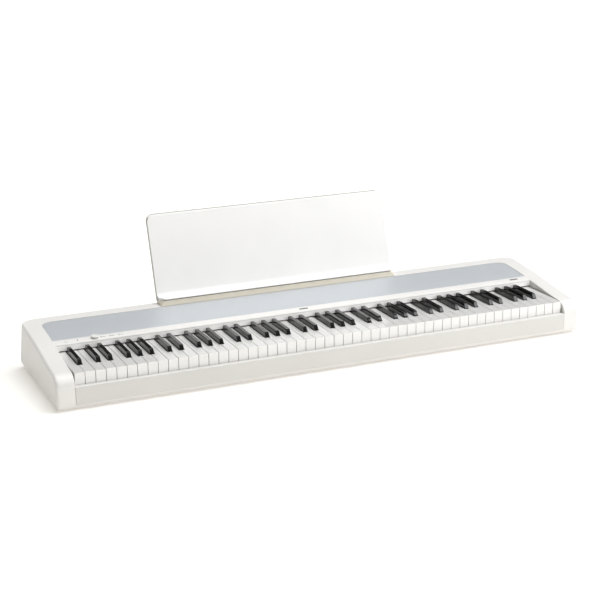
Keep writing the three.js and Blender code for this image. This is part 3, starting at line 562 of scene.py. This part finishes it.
def case_block(name, margin, bottom):
    """The full outer form of the case, or the hollow inside it when margin is the wall thickness."""
    marks = {0.0}
    for radius in (END_ROUND, REAR_CORNER):
        reach = radius - margin
        marks |= {round(reach * (1 - math.cos(math.radians(a))), 3) for a in np.linspace(0, 90, 12)}
    stations = [(HALF - margin - distance, case_outline(margin, distance, bottom))
                for distance in sorted(marks)]
    left = [[(-x, y, z) for y, z in ring] for x, ring in stations]
    right = [[(x, y, z) for y, z in ring] for x, ring in reversed(stations)]
    return loft(name, left + right)


def layer_outline(upper, lower):
    """Side outline of a layer that follows the top surface at two depths below it."""
    depths = np.linspace(GRILLE_FRONT - 2, GRILLE_REAR + 2, 28)
    below = [(y, top_height(y) - lower) for y in depths]
    above = [(y, top_height(y) - upper) for y in reversed(depths)]
    return below + above


def grille_plan(margin):
    """Outline of the grille seen from above, drawn in by margin."""
    half = GRILLE_HALF - margin
    rear = GRILLE_REAR - margin
    radius = GRILLE_CORNER - margin
    front = GRILLE_FRONT + margin
    return [(-half, front), (half, front), *arc(half - radius, rear - radius, radius, 0, 90, 12),
            *arc(-half + radius, rear - radius, radius, 90, 180, 12)]


def strip_matrix():
    """Frame of the control strip: origin on its surface above the keyboard's middle, z square to it."""
    tilt = math.atan2(top_height(STRIP_Y + 10) - top_height(STRIP_Y - 10), 20)
    place = Matrix.Translation((0, STRIP_Y, top_height(STRIP_Y)))
    return TO_ROW @ place @ Matrix.Rotation(tilt, 4, "X")


STRIP = strip_matrix()


def on_strip(x):
    """Frame of a control on the strip."""
    return STRIP @ Matrix.Translation((x, 0, 0))


def on_rear(x, z):
    """Frame of a socket: origin on the back wall's face, z pointing out of it."""
    return TO_ROW @ Matrix.Translation((x, DEPTH, z)) @ Matrix.Rotation(-math.pi / 2, 4, "X")


def drum(name, radius, low, high, matrix, sides=40):
    """A plain cylinder about z."""
    return turned(name, [(0, low), (radius, low), (radius, high), (0, high)], sides, matrix)


def control_cutters():
    """Openings in the control strip."""
    round_holes = (("cut_power", 5.7, POWER_X), ("cut_led", 1.9, LED_X), ("cut_knob", 4.0, KNOB_X))
    cutters = [drum(name, radius, -HOLE_REACH, HOLE_REACH, on_strip(x)) for name, radius, x in round_holes]
    for name, x in BUTTON_XS.items():
        hole = pill(BUTTON_LENGTH + 0.2, BUTTON_WIDTH + 0.2)
        cutters.append(slab("cut_" + name, hole, -HOLE_REACH, HOLE_REACH, "z", on_strip(x)))
    return cutters


def jack_cutters():
    """Openings in the back wall."""
    cutters = [drum("cut_" + name, JACK_HOLE, -HOLE_REACH, HOLE_REACH, on_rear(JACK_XS[name], JACK_HEIGHT))
               for name in ("dc_inlet", "pedal_jack", "headphone_jack")]
    near, far = DEPTH - HOLE_REACH, DEPTH + HOLE_REACH
    x = JACK_XS["usb_socket"]
    cutters.append(block("cut_usb", x - JACK_HOLE, x + JACK_HOLE, near, far,
                         JACK_HEIGHT - 6, JACK_HEIGHT + 6))
    x = JACK_XS["line_jacks"]
    cutters.append(slab("cut_line", [(x + u, JACK_HEIGHT + v) for u, v in pill(31, 11)], near, far, "y"))
    return cutters


def edge_rounder(name, path, normals, across, radius):
    """Takes the sharp corner off an edge: a bar along the path with a hollow quarter-round side.

    across points from the edge into the material that keeps its surface; normals point out of that
    surface."""
    across = Vector(across)
    angles = np.linspace(0, math.pi / 2, 8)
    quarter = [(radius * (1 - math.cos(a)), radius * (math.sin(a) - 1)) for a in angles]
    section = [(-2.0, -radius), *quarter, (radius, 3.0), (-2.0, 3.0)]
    rings = []
    for point, normal in zip(path, normals):
        rings.append([tuple(Vector(point) + u * across + v * normal) for u, v in section])
    return loft(name, rings)


def cheek_rounders():
    """One bar along the inner edge of each cheek, from the strip down to the case's lower edge."""
    outline = case_outline(0.0, FAR, -2.0)
    upper = outline[:60]  # the front and the top, without the back wall
    line = [point for point in upper if point[0] <= FALLBOARD - 1]
    end = FALLBOARD + CHEEK_ROUND
    line.append((end, top_height(end)))
    normals = []
    for i in range(len(line)):
        before, after = line[max(i - 1, 0)], line[min(i + 1, len(line) - 1)]
        along = Vector((0, after[0] - before[0], after[1] - before[1])).normalized()
        normals.append(Vector((0, -along.z, along.y)))
    bars = []
    for side in (-1, 1):
        path = [(side * WELL_HALF, y, z) for y, z in line]
        bars.append(edge_rounder("cheek_edge", path, normals, (side, 0, 0), CHEEK_ROUND))
    return bars


def strip_rounder():
    """A bar along the front edge of the control strip."""
    rise = math.atan2(top_height(FALLBOARD + 6) - top_height(FALLBOARD), 6)
    normal = Vector((0, -math.sin(rise), math.cos(rise)))
    across = (0, math.cos(rise), math.sin(rise))
    ends = [(side * (WELL_HALF + CHEEK_ROUND), FALLBOARD, top_height(FALLBOARD)) for side in (-1, 1)]
    return edge_rounder("strip_edge", ends, [normal, normal], across, STRIP_ROUND)


def top_case():
    """The upper moulding, hollowed out and cut for the keys, the grille, the rest and the sockets."""
    shell = case_block("top_case_shell", 0.0, 0.0)
    hollow = case_block("hollow", WALL, -WALL)
    outer = WELL_HALF + WALL
    carve(hollow, [block("keep", -outer, outer, -WALL * 2, FALLBOARD + WALL, -FAR, FAR)])
    recess = slab("recess", layer_outline(-20, RECESS_DEPTH), -HALF, HALF, "x")
    carve(recess, [slab("plan", grille_plan(0), 0, FAR)], "INTERSECT")
    end = HALF - WALL
    cutters = [
        hollow,
        block("well", -WELL_HALF, WELL_HALF, -WALL * 2, FALLBOARD, -FAR, FAR),
        block("mouth", -WELL_HALF, WELL_HALF, FALLBOARD - 1, FALLBOARD + WALL + 1,
              -3 * WALL, FALLBOARD_BOTTOM),
        block("floor", -end, end, WALL, DEPTH - WALL, -2 * WALL, WALL),
        recess,
    ]
    for side in (-1, 1):
        x = REST_X + side * TAB_OFFSET
        cutters.append(block("slot", x - TAB_HALF - 1, x + TAB_HALF + 1,
                             TAB_FRONT - SLOT_FIT, TAB_REAR + SLOT_FIT, BLACK_TOP, FAR))
        speaker = TO_ROW @ Matrix.Translation((side * SPEAKER_X, SPEAKER_Y, 0))
        vent = [(0, VENT_BOTTOM), (VENT_RADIUS, VENT_BOTTOM), (VENT_RADIUS, FAR), (0, FAR)]
        cutters.append(turned("vent", vent, 64, speaker, VENT_OVAL))
    carve(shell, cutters)
    carve(shell, [strip_rounder(), *cheek_rounders()])
    carve(shell, control_cutters())
    carve(shell, jack_cutters())
    soften(shell, 0)
    dress(shell, "case", [SHELL, FALL], ["top_case"])
    # the fallboard face gets the lighter, glowing painted-light copy of the shell's plastic
    for face in shell.data.polygons:
        centre = TO_ROW.inverted() @ face.center
        if abs(centre.y - FALLBOARD) < 0.1 and centre.z > FALLBOARD_BOTTOM:
            face.material_index = 1


def bottom_case():
    """The tray that closes the case from below, with shallow grooves across it."""
    margin = WALL + FIT
    half = HALF - margin
    plan = [(-half, margin), (half, margin), (half, DEPTH - margin), (-half, DEPTH - margin)]
    tray = slab("bottom_case_tray", plan, 0, TRAY_THICKNESS)
    grooves = [block("groove", x - 1.5, x + 1.5, 30, 310, -1, 0.8) for x in np.arange(-500, 501, 100)]
    carve(tray, grooves)
    soften(tray, 0.5, 2)
    dress(tray, "case", [UNDERSIDE], ["bottom_case"])


def front_rail():
    half = WELL_HALF - FIT
    radius = RAIL_WALL
    outline = [(0, 0), (radius, 0), (radius, RAIL_HEIGHT - radius), (RAIL_DEPTH, RAIL_HEIGHT - radius),
               (RAIL_DEPTH, RAIL_HEIGHT), *arc(radius, RAIL_HEIGHT - radius, radius, 90, 180, 8)]
    rail = slab("front_rail_cover", outline, -half, half, "x")
    soften(rail, 0.5, 3)
    # the rail's darker colour is painted shade on its front face
    dress(rail, "case", [RAIL], ["front_rail"])


def grille():
    sheet = slab("grille_sheet", layer_outline(GRILLE_DROP, GRILLE_DROP + GRILLE_THICKNESS), -HALF, HALF, "x")
    carve(sheet, [slab("plan", grille_plan(0.7), 0, FAR)], "INTERSECT")
    soften(sheet, 0.4, 2)
    dress(sheet, "case", [GRILLE], ["grille_panel"])


# ---- keys ------------------------------------------------------------------------------------
BLACK_SHIFT = {0: -2.0, 1: 2.0, 3: -3.0, 4: 0.0, 5: 3.0}  # by white step, from C
LETTERS = "cdefgab"
SINGLE_WHITES = range(16, 30)


def white_step(index):
    return (index + 5) % 7


def white_left(index):
    return (index - WHITE_COUNT / 2) * WHITE_PITCH


def black_centre(index):
    """Centre of the black key to the right of a white key, or None."""
    if not 0 <= index < WHITE_COUNT - 1 or white_step(index) not in BLACK_SHIFT:
        return None
    return white_left(index + 1) + BLACK_SHIFT[white_step(index)]


def key_label(index, black):
    """Name of a white key, or of the black key to its right."""
    octave = (index + 5) // 7
    return f"{LETTERS[white_step(index)]}{'_sharp' if black else ''}{octave}"


def key_body(index, black):
    """The CAD body a key rides on: its own in the middle octaves, else its comb."""
    if index in SINGLE_WHITES:
        return "key_" + key_label(index, black)
    side = "low" if index < SINGLE_WHITES[0] else "high"
    return f"{'black' if black else 'white'}_keys_{side}"


def tail(vertices, faces, base, x0, x1, low, high, start, end):
    """Continues a key's rear face, given as four corner indices, as a narrower tail under the strip."""
    for depth in (start, end):
        corners = [(x0, depth, low), (x1, depth, low), (x1, depth, high), (x0, depth, high)]
        first = len(vertices)
        vertices += corners
        loop = list(range(first, first + 4))
        faces += [(base[i], base[(i + 1) % 4], loop[(i + 1) % 4], loop[i]) for i in range(4)]
        base = loop
    faces.append(tuple(base))


def white_key(index):
    """A notched plate with a lip at the front and a tail at the rear."""
    left = white_left(index) + KEY_GAP / 2
    right = white_left(index + 1) - KEY_GAP / 2
    before, after = black_centre(index - 1), black_centre(index)
    inner_left = left if before is None else before + NOTCH_HALF
    inner_right = right if after is None else after - NOTCH_HALF
    notch = BLACK_FRONT - 1
    lip = KEY_FRONT + LIP_DEPTH
    plan = [(left, KEY_FRONT), (right, KEY_FRONT), (right, lip)]
    if after is not None:
        plan += [(right, notch), (inner_right, notch)]
    plan.append((inner_right, PLATE_REAR))
    plan.append((inner_left, PLATE_REAR))
    if before is not None:
        plan += [(inner_left, notch), (left, notch)]
    plan.append((left, lip))
    count = len(plan)
    vertices = [(x, y, z) for z in (KEY_UNDERSIDE, KEY_TOP) for x, y in plan]
    rear = next(i for i, point in enumerate(plan) if point == (inner_right, PLATE_REAR))
    faces = [tuple(range(count, 2 * count)), (2, *range(3, count - 1), count - 1)]
    for i in range(count):
        j = (i + 1) % count
        if i != rear:
            faces.append((i, j, count + j, count + i))
    lip_first = len(vertices)
    lip_plan = [(left, KEY_FRONT), (right, KEY_FRONT), (right, lip), (left, lip)]
    vertices += [(x, y, LIP_BOTTOM) for x, y in lip_plan]
    above = [0, 1, 2, count - 1]
    for i in range(4):
        j = (i + 1) % 4
        faces.append((above[i], above[j], lip_first + j, lip_first + i))
    faces.append(tuple(range(lip_first, lip_first + 4)))
    base = [rear + 1, rear, count + rear, count + rear + 1]
    tail(vertices, faces, base, inner_left, inner_right, TAIL_LOW, TAIL_HIGH, PLATE_REAR + 4, WHITE_TAIL_END)
    key = build("white_key_" + key_label(index, False), vertices, faces)
    soften(key, 0.8, 3)
    body = key_body(index, False)
    dress(key, body, [KEY_WHITE, KEY_FRONT_LIGHT], [body] if body.startswith("key_") else ())
    # front faces get the lighter painted-light copy of the key plastic
    for face in key.data.polygons:
        if face.normal.y < -0.8:
            face.material_index = 1


def black_key(index):
    """The black key to the right of a white key: four levels that draw in, and a tail."""
    centre = black_centre(index)
    levels = [(KEY_UNDERSIDE, BLACK_HALF, BLACK_FRONT, BLACK_REAR + 1),
              (KEY_TOP - 1, BLACK_HALF, BLACK_FRONT, BLACK_REAR + 1),
              (KEY_TOP + 3.5, BLACK_HALF - 0.45, BLACK_FRONT + 1.8, BLACK_REAR + 0.6),
              (BLACK_TOP, BLACK_TOP_HALF, BLACK_FRONT + 7.0, BLACK_REAR)]
    rings = []
    for z, half, front, rear in levels:
        x0, x1 = centre - half, centre + half
        rings.append([(x0, front, z), (x1, front, z), (x1, rear, z), (x0, rear, z)])
    vertices, faces = rings_to_solid(rings)
    rear_face = next(f for f in faces if set(f) == {2, 3, 6, 7})
    faces.remove(rear_face)
    x0, x1 = centre - BLACK_HALF, centre + BLACK_HALF
    tail(vertices, faces, [3, 2, 6, 7], x0, x1, TAIL_LOW, BLACK_TAIL_HIGH, PLATE_REAR, BLACK_TAIL_END)
    key = build("black_key_" + key_label(index, True), vertices, faces)
    soften(key, 0.8, 3, 25.0)
    body = key_body(index, True)
    dress(key, body, [KEY_BLACK], [body] if body.startswith("key_") else ())


def comb_bar(name, body, box, material):
    """The bar that joins the keys of a comb behind the strip."""
    bar = block(name, *box)
    soften(bar, 0.8, 2)
    dress(bar, body, [material], [body])


def keyboard():
    for index in range(WHITE_COUNT):
        white_key(index)
        if black_centre(index) is not None:
            black_key(index)
    for side, first, last in (("low", 0, SINGLE_WHITES[0]), ("high", SINGLE_WHITES[-1] + 1, WHITE_COUNT)):
        whites = (white_left(first) + KEY_GAP, white_left(last) - KEY_GAP, COMB_BAR, WHITE_TAIL_END,
                  TAIL_HIGH - 1, TAIL_HIGH + 6)
        comb_bar(f"white_bar_{side}", f"white_keys_{side}", whites, KEY_WHITE)
        centres = [black_centre(i) for i in range(first, last) if black_centre(i) is not None]
        blacks = (centres[0] - BLACK_HALF, centres[-1] + BLACK_HALF, WHITE_TAIL_END + 2, BLACK_TAIL_END,
                  TAIL_LOW, BLACK_TAIL_HIGH)
        comb_bar(f"black_bar_{side}", f"black_keys_{side}", blacks, KEY_BLACK)


# ---- controls --------------------------------------------------------------------------------
def volume_knob():
    base, high, radius = 0.6, 5.5, KNOB_RADIUS
    stem, foot = 3, -6.8
    dish = high - 0.35
    profile = [(0, foot), (stem, foot), (stem, base), (radius - 0.3, base), (radius, base + 0.5),
               (radius - 0.35, high - 1.2), (radius - 0.7, high - 0.4), (radius - 1.4, high - 0.05),
               (radius - 2.2, high), (radius - 2.6, dish), (0, dish)]
    place = on_strip(KNOB_X)
    knob = turned("volume_knob_cap", profile, 72, place)
    carve(knob, [block("mark", -0.55, 0.55, radius - 5.5, radius - 1.6, high - 0.9, high + 1, place)])
    soften(knob, 0)
    dress(knob, "volume_knob", [BUTTON], ["volume_knob"])


def push_button(name, x):
    low = -WALL - 0.5
    rise = 1.8
    rounding = ((low, 0.0), (rise - 0.7, 0.0), (rise - 0.3, 0.15), (rise - 0.05, 0.45), (rise, 0.9))
    rings = []
    for height, drawn in rounding:
        outline = pill(BUTTON_LENGTH - 2 * drawn, BUTTON_WIDTH - 2 * drawn)
        rings.append([(u, v, height) for u, v in outline])
    cap = loft(name + "_cap", rings, on_strip(x))
    carve(cap, [drum("stem", 2, -6.6, low + 1, on_strip(x), 24)], "UNION")
    soften(cap, 0)
    dress(cap, name, [BUTTON], [name])


def power_button():
    profile = [(0, -6.6), (2, -6.6), (2, -4), (5.5, -4), (5.5, 0.4), (5.3, 0.75), (4.9, 1.0), (4.3, 1.1),
               (3.6, 0.95), (0, 0.8)]
    button = turned("power_button_cap", profile, 56, on_strip(POWER_X))
    soften(button, 0)
    dress(button, "power_button", [BUTTON], ["power_button"])


def led():
    profile = [(0, -7), (1.5, -7), (1.5, 0.1), (1.3, 0.4), (0.8, 0.6), (0, 0.65)]
    lens = turned("power_led_lens", profile, 32, on_strip(LED_X))
    soften(lens, 0)
    dress(lens, "case", [LED], ["power_led"])


def printed_marks():
    """Plain bars where the real instrument has printed words."""
    for name, (x0, x1) in MARKS.items():
        outline = [(u + (x0 + x1) / 2, v + MARK_Y) for u, v in pill(x1 - x0, MARK_WIDTH)]
        bar = slab(name, outline, -0.3, 0.12, "z", STRIP)
        soften(bar, 0)
        dress(bar, "case", [MARK])


# ---- music rest ------------------------------------------------------------------------------
def rest_front(height):
    """Depth of the leaning panel's front face at a height."""
    return REST_PLANE + REST_SLOPE * height


def rest_face(name, margin):
    """Prism of the panel's outline seen from the front, drawn in by margin."""
    half, top, radius = REST_HALF - margin, REST_TOP - margin, REST_CORNER - margin
    outline = [(-half, 0), (half, 0), *arc(half - radius, top - radius, radius, 0, 90, 12),
               *arc(-half + radius, top - radius, radius, 90, 180, 12)]
    return slab(name, [(x + REST_X, z) for x, z in outline], 0, 2 * DEPTH, "y")


def rest_side():
    """Outline of the panel and its ledge, above the base."""
    lean = math.atan(REST_SLOPE)
    fillet_y = rest_front(LEDGE_TOP) - REST_FILLET * math.tan(math.pi / 4 - lean / 2)
    fillet = arc(fillet_y, LEDGE_TOP + REST_FILLET, REST_FILLET, -math.degrees(lean), -90, 12)
    rear = rest_front(REST_TOP - CROWN) + REST_THICKNESS - 0.05
    crown = curve((rear, REST_TOP - CROWN), (rear, REST_TOP - 1.5),
                  (rear - 1.5, REST_TOP), (rear - 4, REST_TOP), 6)
    brow = curve((rest_front(REST_TOP) + BROW, REST_TOP), (rest_front(REST_TOP) + 1.5, REST_TOP),
                 (rest_front(REST_TOP - 1), REST_TOP - 1), (rest_front(REST_TOP - BROW), REST_TOP - BROW), 6)
    lip = arc(REST_FRONT - 0.3, LEDGE_TOP - 1.2, 1.2, 90, 180, 5)
    under = LEDGE_TOP - LEDGE_LIP
    return [(REST_FRONT, under), (REST_FRONT + SHOULDER_Y, under - SHOULDER_DROP),
            (rest_front(BASE_TOP) + REST_THICKNESS, BASE_TOP), *crown, *brow, *fillet, *lip,
            (REST_FRONT - 1.5, under)]


def hull(name, points):
    """The closed convex skin around some points."""
    thing = build(name, points, [])
    shape = bmesh.new()
    shape.from_mesh(thing.data)
    found = bmesh.ops.convex_hull(shape, input=shape.verts)
    bmesh.ops.delete(shape, geom=found["geom_interior"], context="VERTS")
    bmesh.ops.recalc_face_normals(shape, faces=shape.faces)
    shape.to_mesh(thing.data)
    shape.free()
    return thing


def shoulder_cutter(side):
    """What to cut from a side of the base, so that it slopes out to a square corner on the case."""
    reach = 1.4  # the slope goes on past both of its ends
    ends = []
    for t in (1 - reach, reach):
        ends.append((side * (REST_HALF - SHOULDER_X * (1 - t)) + REST_X, REST_FRONT + SHOULDER_Y * t,
                     LEDGE_TOP - LEDGE_LIP - SHOULDER_DROP * t))
    foot = (side * REST_HALF + REST_X, BASE_FOOT, top_height(BASE_FOOT))
    away = (foot[0] + side * SHOULDER_X, foot[1] - SHOULDER_Y)
    above = [(x, y, FAR) for x, y, _ in (*ends, (*away, 0))]
    return hull("shoulder", [foot, *ends, *above, (*away, foot[2])])


def rest_base():
    """The part under the ledge that stands on the case."""
    under = LEDGE_TOP - LEDGE_LIP
    inner = REST_FRONT + GROOVE
    outline = [(BASE_FOOT, top_height(BASE_FOOT) + FIT), (BASE_HEEL, top_height(BASE_HEEL) + FIT),
               (rest_front(BASE_TOP) + REST_THICKNESS, BASE_TOP),
               (REST_FRONT + SHOULDER_Y, under - SHOULDER_DROP),
               (inner, under - SHOULDER_DROP * GROOVE / SHOULDER_Y),
               (inner, under - GROOVE), (REST_FRONT - 0.3, under - GROOVE)]
    base = slab("music_rest_base", outline, REST_X - REST_HALF, REST_X + REST_HALF, "x")
    carve(base, [shoulder_cutter(-1), shoulder_cutter(1)])
    soften(base, 0.35, 2)
    # the base's beige colour is painted shade under the ledge
    dress(base, "music_rest", [REST_BASE_SHADE, REST_GROOVE_SHADE])
    # faces in the groove get the dark painted shade
    for face in base.data.polygons:
        centre = TO_ROW.inverted() @ face.center
        if centre.z > under - GROOVE - 0.2 and centre.y < inner + 0.5:
            face.material_index = 1


def rest_pockets():
    """Hollows in the back of the panel, between a rim and upright ribs."""
    low, high = LEDGE_TOP + POCKET_FOOT, REST_TOP - CROWN
    beyond = 80
    side = [(rest_front(low) + POCKET_SKIN, low), (rest_front(low) + beyond, low),
            (rest_front(high) + beyond, high), (rest_front(high) + POCKET_SKIN, high)]
    bay = 2 * (REST_HALF - POCKET_RIM) / POCKET_COUNT
    pockets = []
    for i in range(POCKET_COUNT):
        left = REST_X - REST_HALF + POCKET_RIM + i * bay
        start = left + (RIB_HALF if i else 0)
        end = left + bay - (RIB_HALF if i < POCKET_COUNT - 1 else 0)
        pocket = slab("pocket", side, start, end, "x")
        pockets.append(carve(pocket, [rest_face("inner", POCKET_RIM)], "INTERSECT"))
    return pockets


def music_rest():
    """The panel with its ledge, the base under it and the two tabs."""
    panel = slab("music_rest_panel", rest_side(), REST_X - REST_HALF, REST_X + REST_HALF, "x")
    shoulder = REST_HALF - SHOULDER_X
    plan = [(-shoulder, REST_FRONT - 2), (shoulder, REST_FRONT - 2), (REST_HALF, REST_FRONT + SHOULDER_Y),
            (REST_HALF, 2 * DEPTH), (-REST_HALF, 2 * DEPTH), (-REST_HALF, REST_FRONT + SHOULDER_Y)]
    above = slab("plan", [(x + REST_X, y) for x, y in plan], 0, 2 * FAR)
    carve(panel, [rest_face("outer", 0), above], "INTERSECT")
    carve(panel, rest_pockets())
    soften(panel, 0.9, 3)
    dress(panel, "music_rest", [REST, REST_EDGE_SHADE], ["music_rest"])
    # the panel's end faces and its top get the darker painted-shade copy of its plastic
    for face in panel.data.polygons:
        centre = TO_ROW.inverted() @ face.center
        if abs(face.normal.x) > 0.8 or (face.normal.z > 0.8 and centre.z > REST_TOP - 1):
            face.material_index = 1
    rest_base()
    for side, label in ((-1, "left"), (1, "right")):
        x = REST_X + side * TAB_OFFSET
        tab = block("music_rest_tab_" + label, x - TAB_HALF, x + TAB_HALF, TAB_FRONT, TAB_REAR,
                    top_height(TAB_REAR) - TAB_LENGTH, top_height(TAB_REAR) + 4)
        soften(tab, 1.0, 3)
        dress(tab, "music_rest", [REST])


# ---- back, underside and inside --------------------------------------------------------------
def screw(name, matrix, radius=3.2):
    """Cross-head screw: z points out of the head, which stands on z = 0."""
    rise = radius * 0.45
    profile = [(0, -2), (radius * 0.55, -2), (radius * 0.55, 0), (radius, 0), (radius, rise * 0.35),
               (radius * 0.86, rise * 0.75), (radius * 0.55, rise), (0, rise * 1.05)]
    head = turned(name, profile, 32, matrix)
    slot = radius * 0.16
    arm = radius * 0.62
    cuts = [block("cut", -arm, arm, -slot, slot, rise * 0.25, rise * 2, matrix),
            block("cut", -slot, slot, -arm, arm, rise * 0.25, rise * 2, matrix)]
    carve(head, cuts)
    soften(head, 0)
    dress(head, "case", [NICKEL])


def screws():
    flip = Matrix.Rotation(math.pi, 4, "X")
    number = 0
    for y in (24.0, 170.0, 312.0):
        for x in (-600.0, -360.0, -120.0, 120.0, 360.0, 600.0):
            number += 1
            screw(f"underside_screw_{number:02d}", TO_ROW @ Matrix.Translation((x, y, 0)) @ flip)
    for i, x in enumerate((-620.0, -330.0, 0.0, 330.0, 620.0)):
        screw(f"rear_screw_{i + 1}", on_rear(x, 14.0), 2.8)


def feet():
    """Rubber pads with a small recess underneath."""
    for name, (x, y) in FEET.items():
        height = -case_low.z / MM
        profile = [(0, height + 1.2), (4, height + 1.2), (4.3, height), (13.2, height), (14.2, height + 0.8),
                   (15, height + 6), (16, -1.2), (15.2, -0.3), (0, -0.3)]
        pad = turned(name + "_pad", profile, 56, TO_ROW @ Matrix.Translation((x, y, 0)))
        soften(pad, 0)
        dress(pad, "case", [RUBBER], [name])


def repaint(nodes, material):
    """A CAD node whose shape is right keeps it and gets a detailed material."""
    for name in nodes:
        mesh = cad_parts[name].data
        mesh.materials.clear()
        mesh.materials.append(material)


def inside():
    repaint(["keybed_chassis"], CHASSIS)
    repaint(["upper_stop_rail"], STEEL)
    repaint(["upper_stop_felt", "lower_stop_felt"], FELT)
    repaint(["key_contact_board", "panel_board", "main_board"], BOARD)
    repaint(["key_contact_rubber"], GREY_RUBBER)
    repaint(["speaker_left_frame", "speaker_right_frame"], STEEL)
    repaint(["speaker_left_cone", "speaker_right_cone"], PAPER)
    repaint(["dc_inlet", "usb_socket", "pedal_jack", "headphone_jack", "line_jacks"], DARK)


# ---- stage -----------------------------------------------------------------------------------
def camera():
    """The viewpoint of the reference view, from the front left and above."""
    data = bpy.data.cameras.new("camera")
    data.sensor_width = 36
    data.lens = CAMERA_LENS
    data.clip_end = 100
    viewer = bpy.data.objects.new("camera", data)
    bpy.context.scene.collection.objects.link(viewer)
    yaw, pitch, roll = CAMERA_YAW, CAMERA_PITCH, CAMERA_ROLL
    forward = Vector((math.sin(yaw) * math.cos(pitch), math.cos(yaw) * math.cos(pitch), -math.sin(pitch)))
    level = Vector((math.cos(yaw), -math.sin(yaw), 0))
    upright = level.cross(forward)
    right = math.cos(roll) * level + math.sin(roll) * upright
    up = -math.sin(roll) * level + math.cos(roll) * upright
    turn = Matrix((right, up, -forward)).transposed().to_4x4()
    viewer.matrix_world = Matrix.Translation(TO_ROW @ Vector(CAMERA_PLACE)) @ turn
    bpy.context.scene.camera = viewer


def lamp(name, kind, power, colour, direction):
    """A light of some kind that shines in a direction."""
    data = bpy.data.lights.new(name, kind)
    data.energy = power
    data.color = colour
    thing = bpy.data.objects.new(name, data)
    bpy.context.scene.collection.objects.link(thing)
    thing.rotation_euler = Vector(direction).to_track_quat("-Z", "Y").to_euler()
    return thing


def area_light(name, place, aim, size, power, colour):
    thing = lamp(name, "AREA", power, colour, Vector(aim) - Vector(place))
    thing.location = place
    thing.data.shape = "RECTANGLE"
    thing.data.size, thing.data.size_y = size


def sun(name, direction, power, softness, colour):
    thing = lamp(name, "SUN", power, colour, direction)
    thing.data.angle = math.radians(softness)


def studio():
    """A world that is bright overhead and at the horizon, and dimmer on the left."""
    world = bpy.data.worlds.new("studio")
    bpy.context.scene.world = world
    world.use_nodes = True
    tree = world.node_tree
    background = tree.nodes["Background"]
    background.inputs["Color"].default_value = (1.0, 0.975, 0.94, 1)
    place = tree.nodes.new("ShaderNodeTexCoord")
    split = tree.nodes.new("ShaderNodeSeparateXYZ")
    tree.links.new(place.outputs["Generated"], split.inputs["Vector"])
    rise = map_range(tree, split.outputs["Z"], 0.4, 0.85, 0.05, 0.5)
    horizon = map_range(tree, split.outputs["Z"], 0.2, 0.26, 0.8, 0.0)
    side = map_range(tree, split.outputs["X"], -0.9, 0.1, 0.6, 1.0, smooth=False)
    strength = math_node(tree, "MULTIPLY", math_node(tree, "ADD", rise, horizon), side)
    tree.links.new(strength, background.inputs["Strength"])


def stage():
    bpy.context.scene.view_settings.view_transform = "Standard"
    near, far = -FLOOR_HALF, FLOOR_HALF
    corners = [(near, near, 0), (far, near, 0), (far, far, 0), (near, far, 0)]
    floor = build("floor", corners, [(0, 1, 2, 3)], Matrix.Identity(4))
    paint = moulded("floor_paint", (0.86, 0.842, 0.81), 0.8, 40.0, 0.0, 0.01, glow=0.30)
    floor.data.materials.append(paint)
    studio()
    sun("key_light", (-0.30, 0.05, -1.0), 2.36, 55, (0.965, 0.985, 1.0))
    area_light("side_light", (1.75, -1.7, 1.1), (0.5, 0, 0.1), (1.2, 1.2), 20, (0.97, 0.985, 1.0))


top_case()
bottom_case()
front_rail()
grille()
keyboard()
volume_knob()
power_button()
for button, button_x in BUTTON_XS.items():
    push_button(button, button_x)
led()
printed_marks()
music_rest()
screws()
feet()
inside()
camera()
stage()
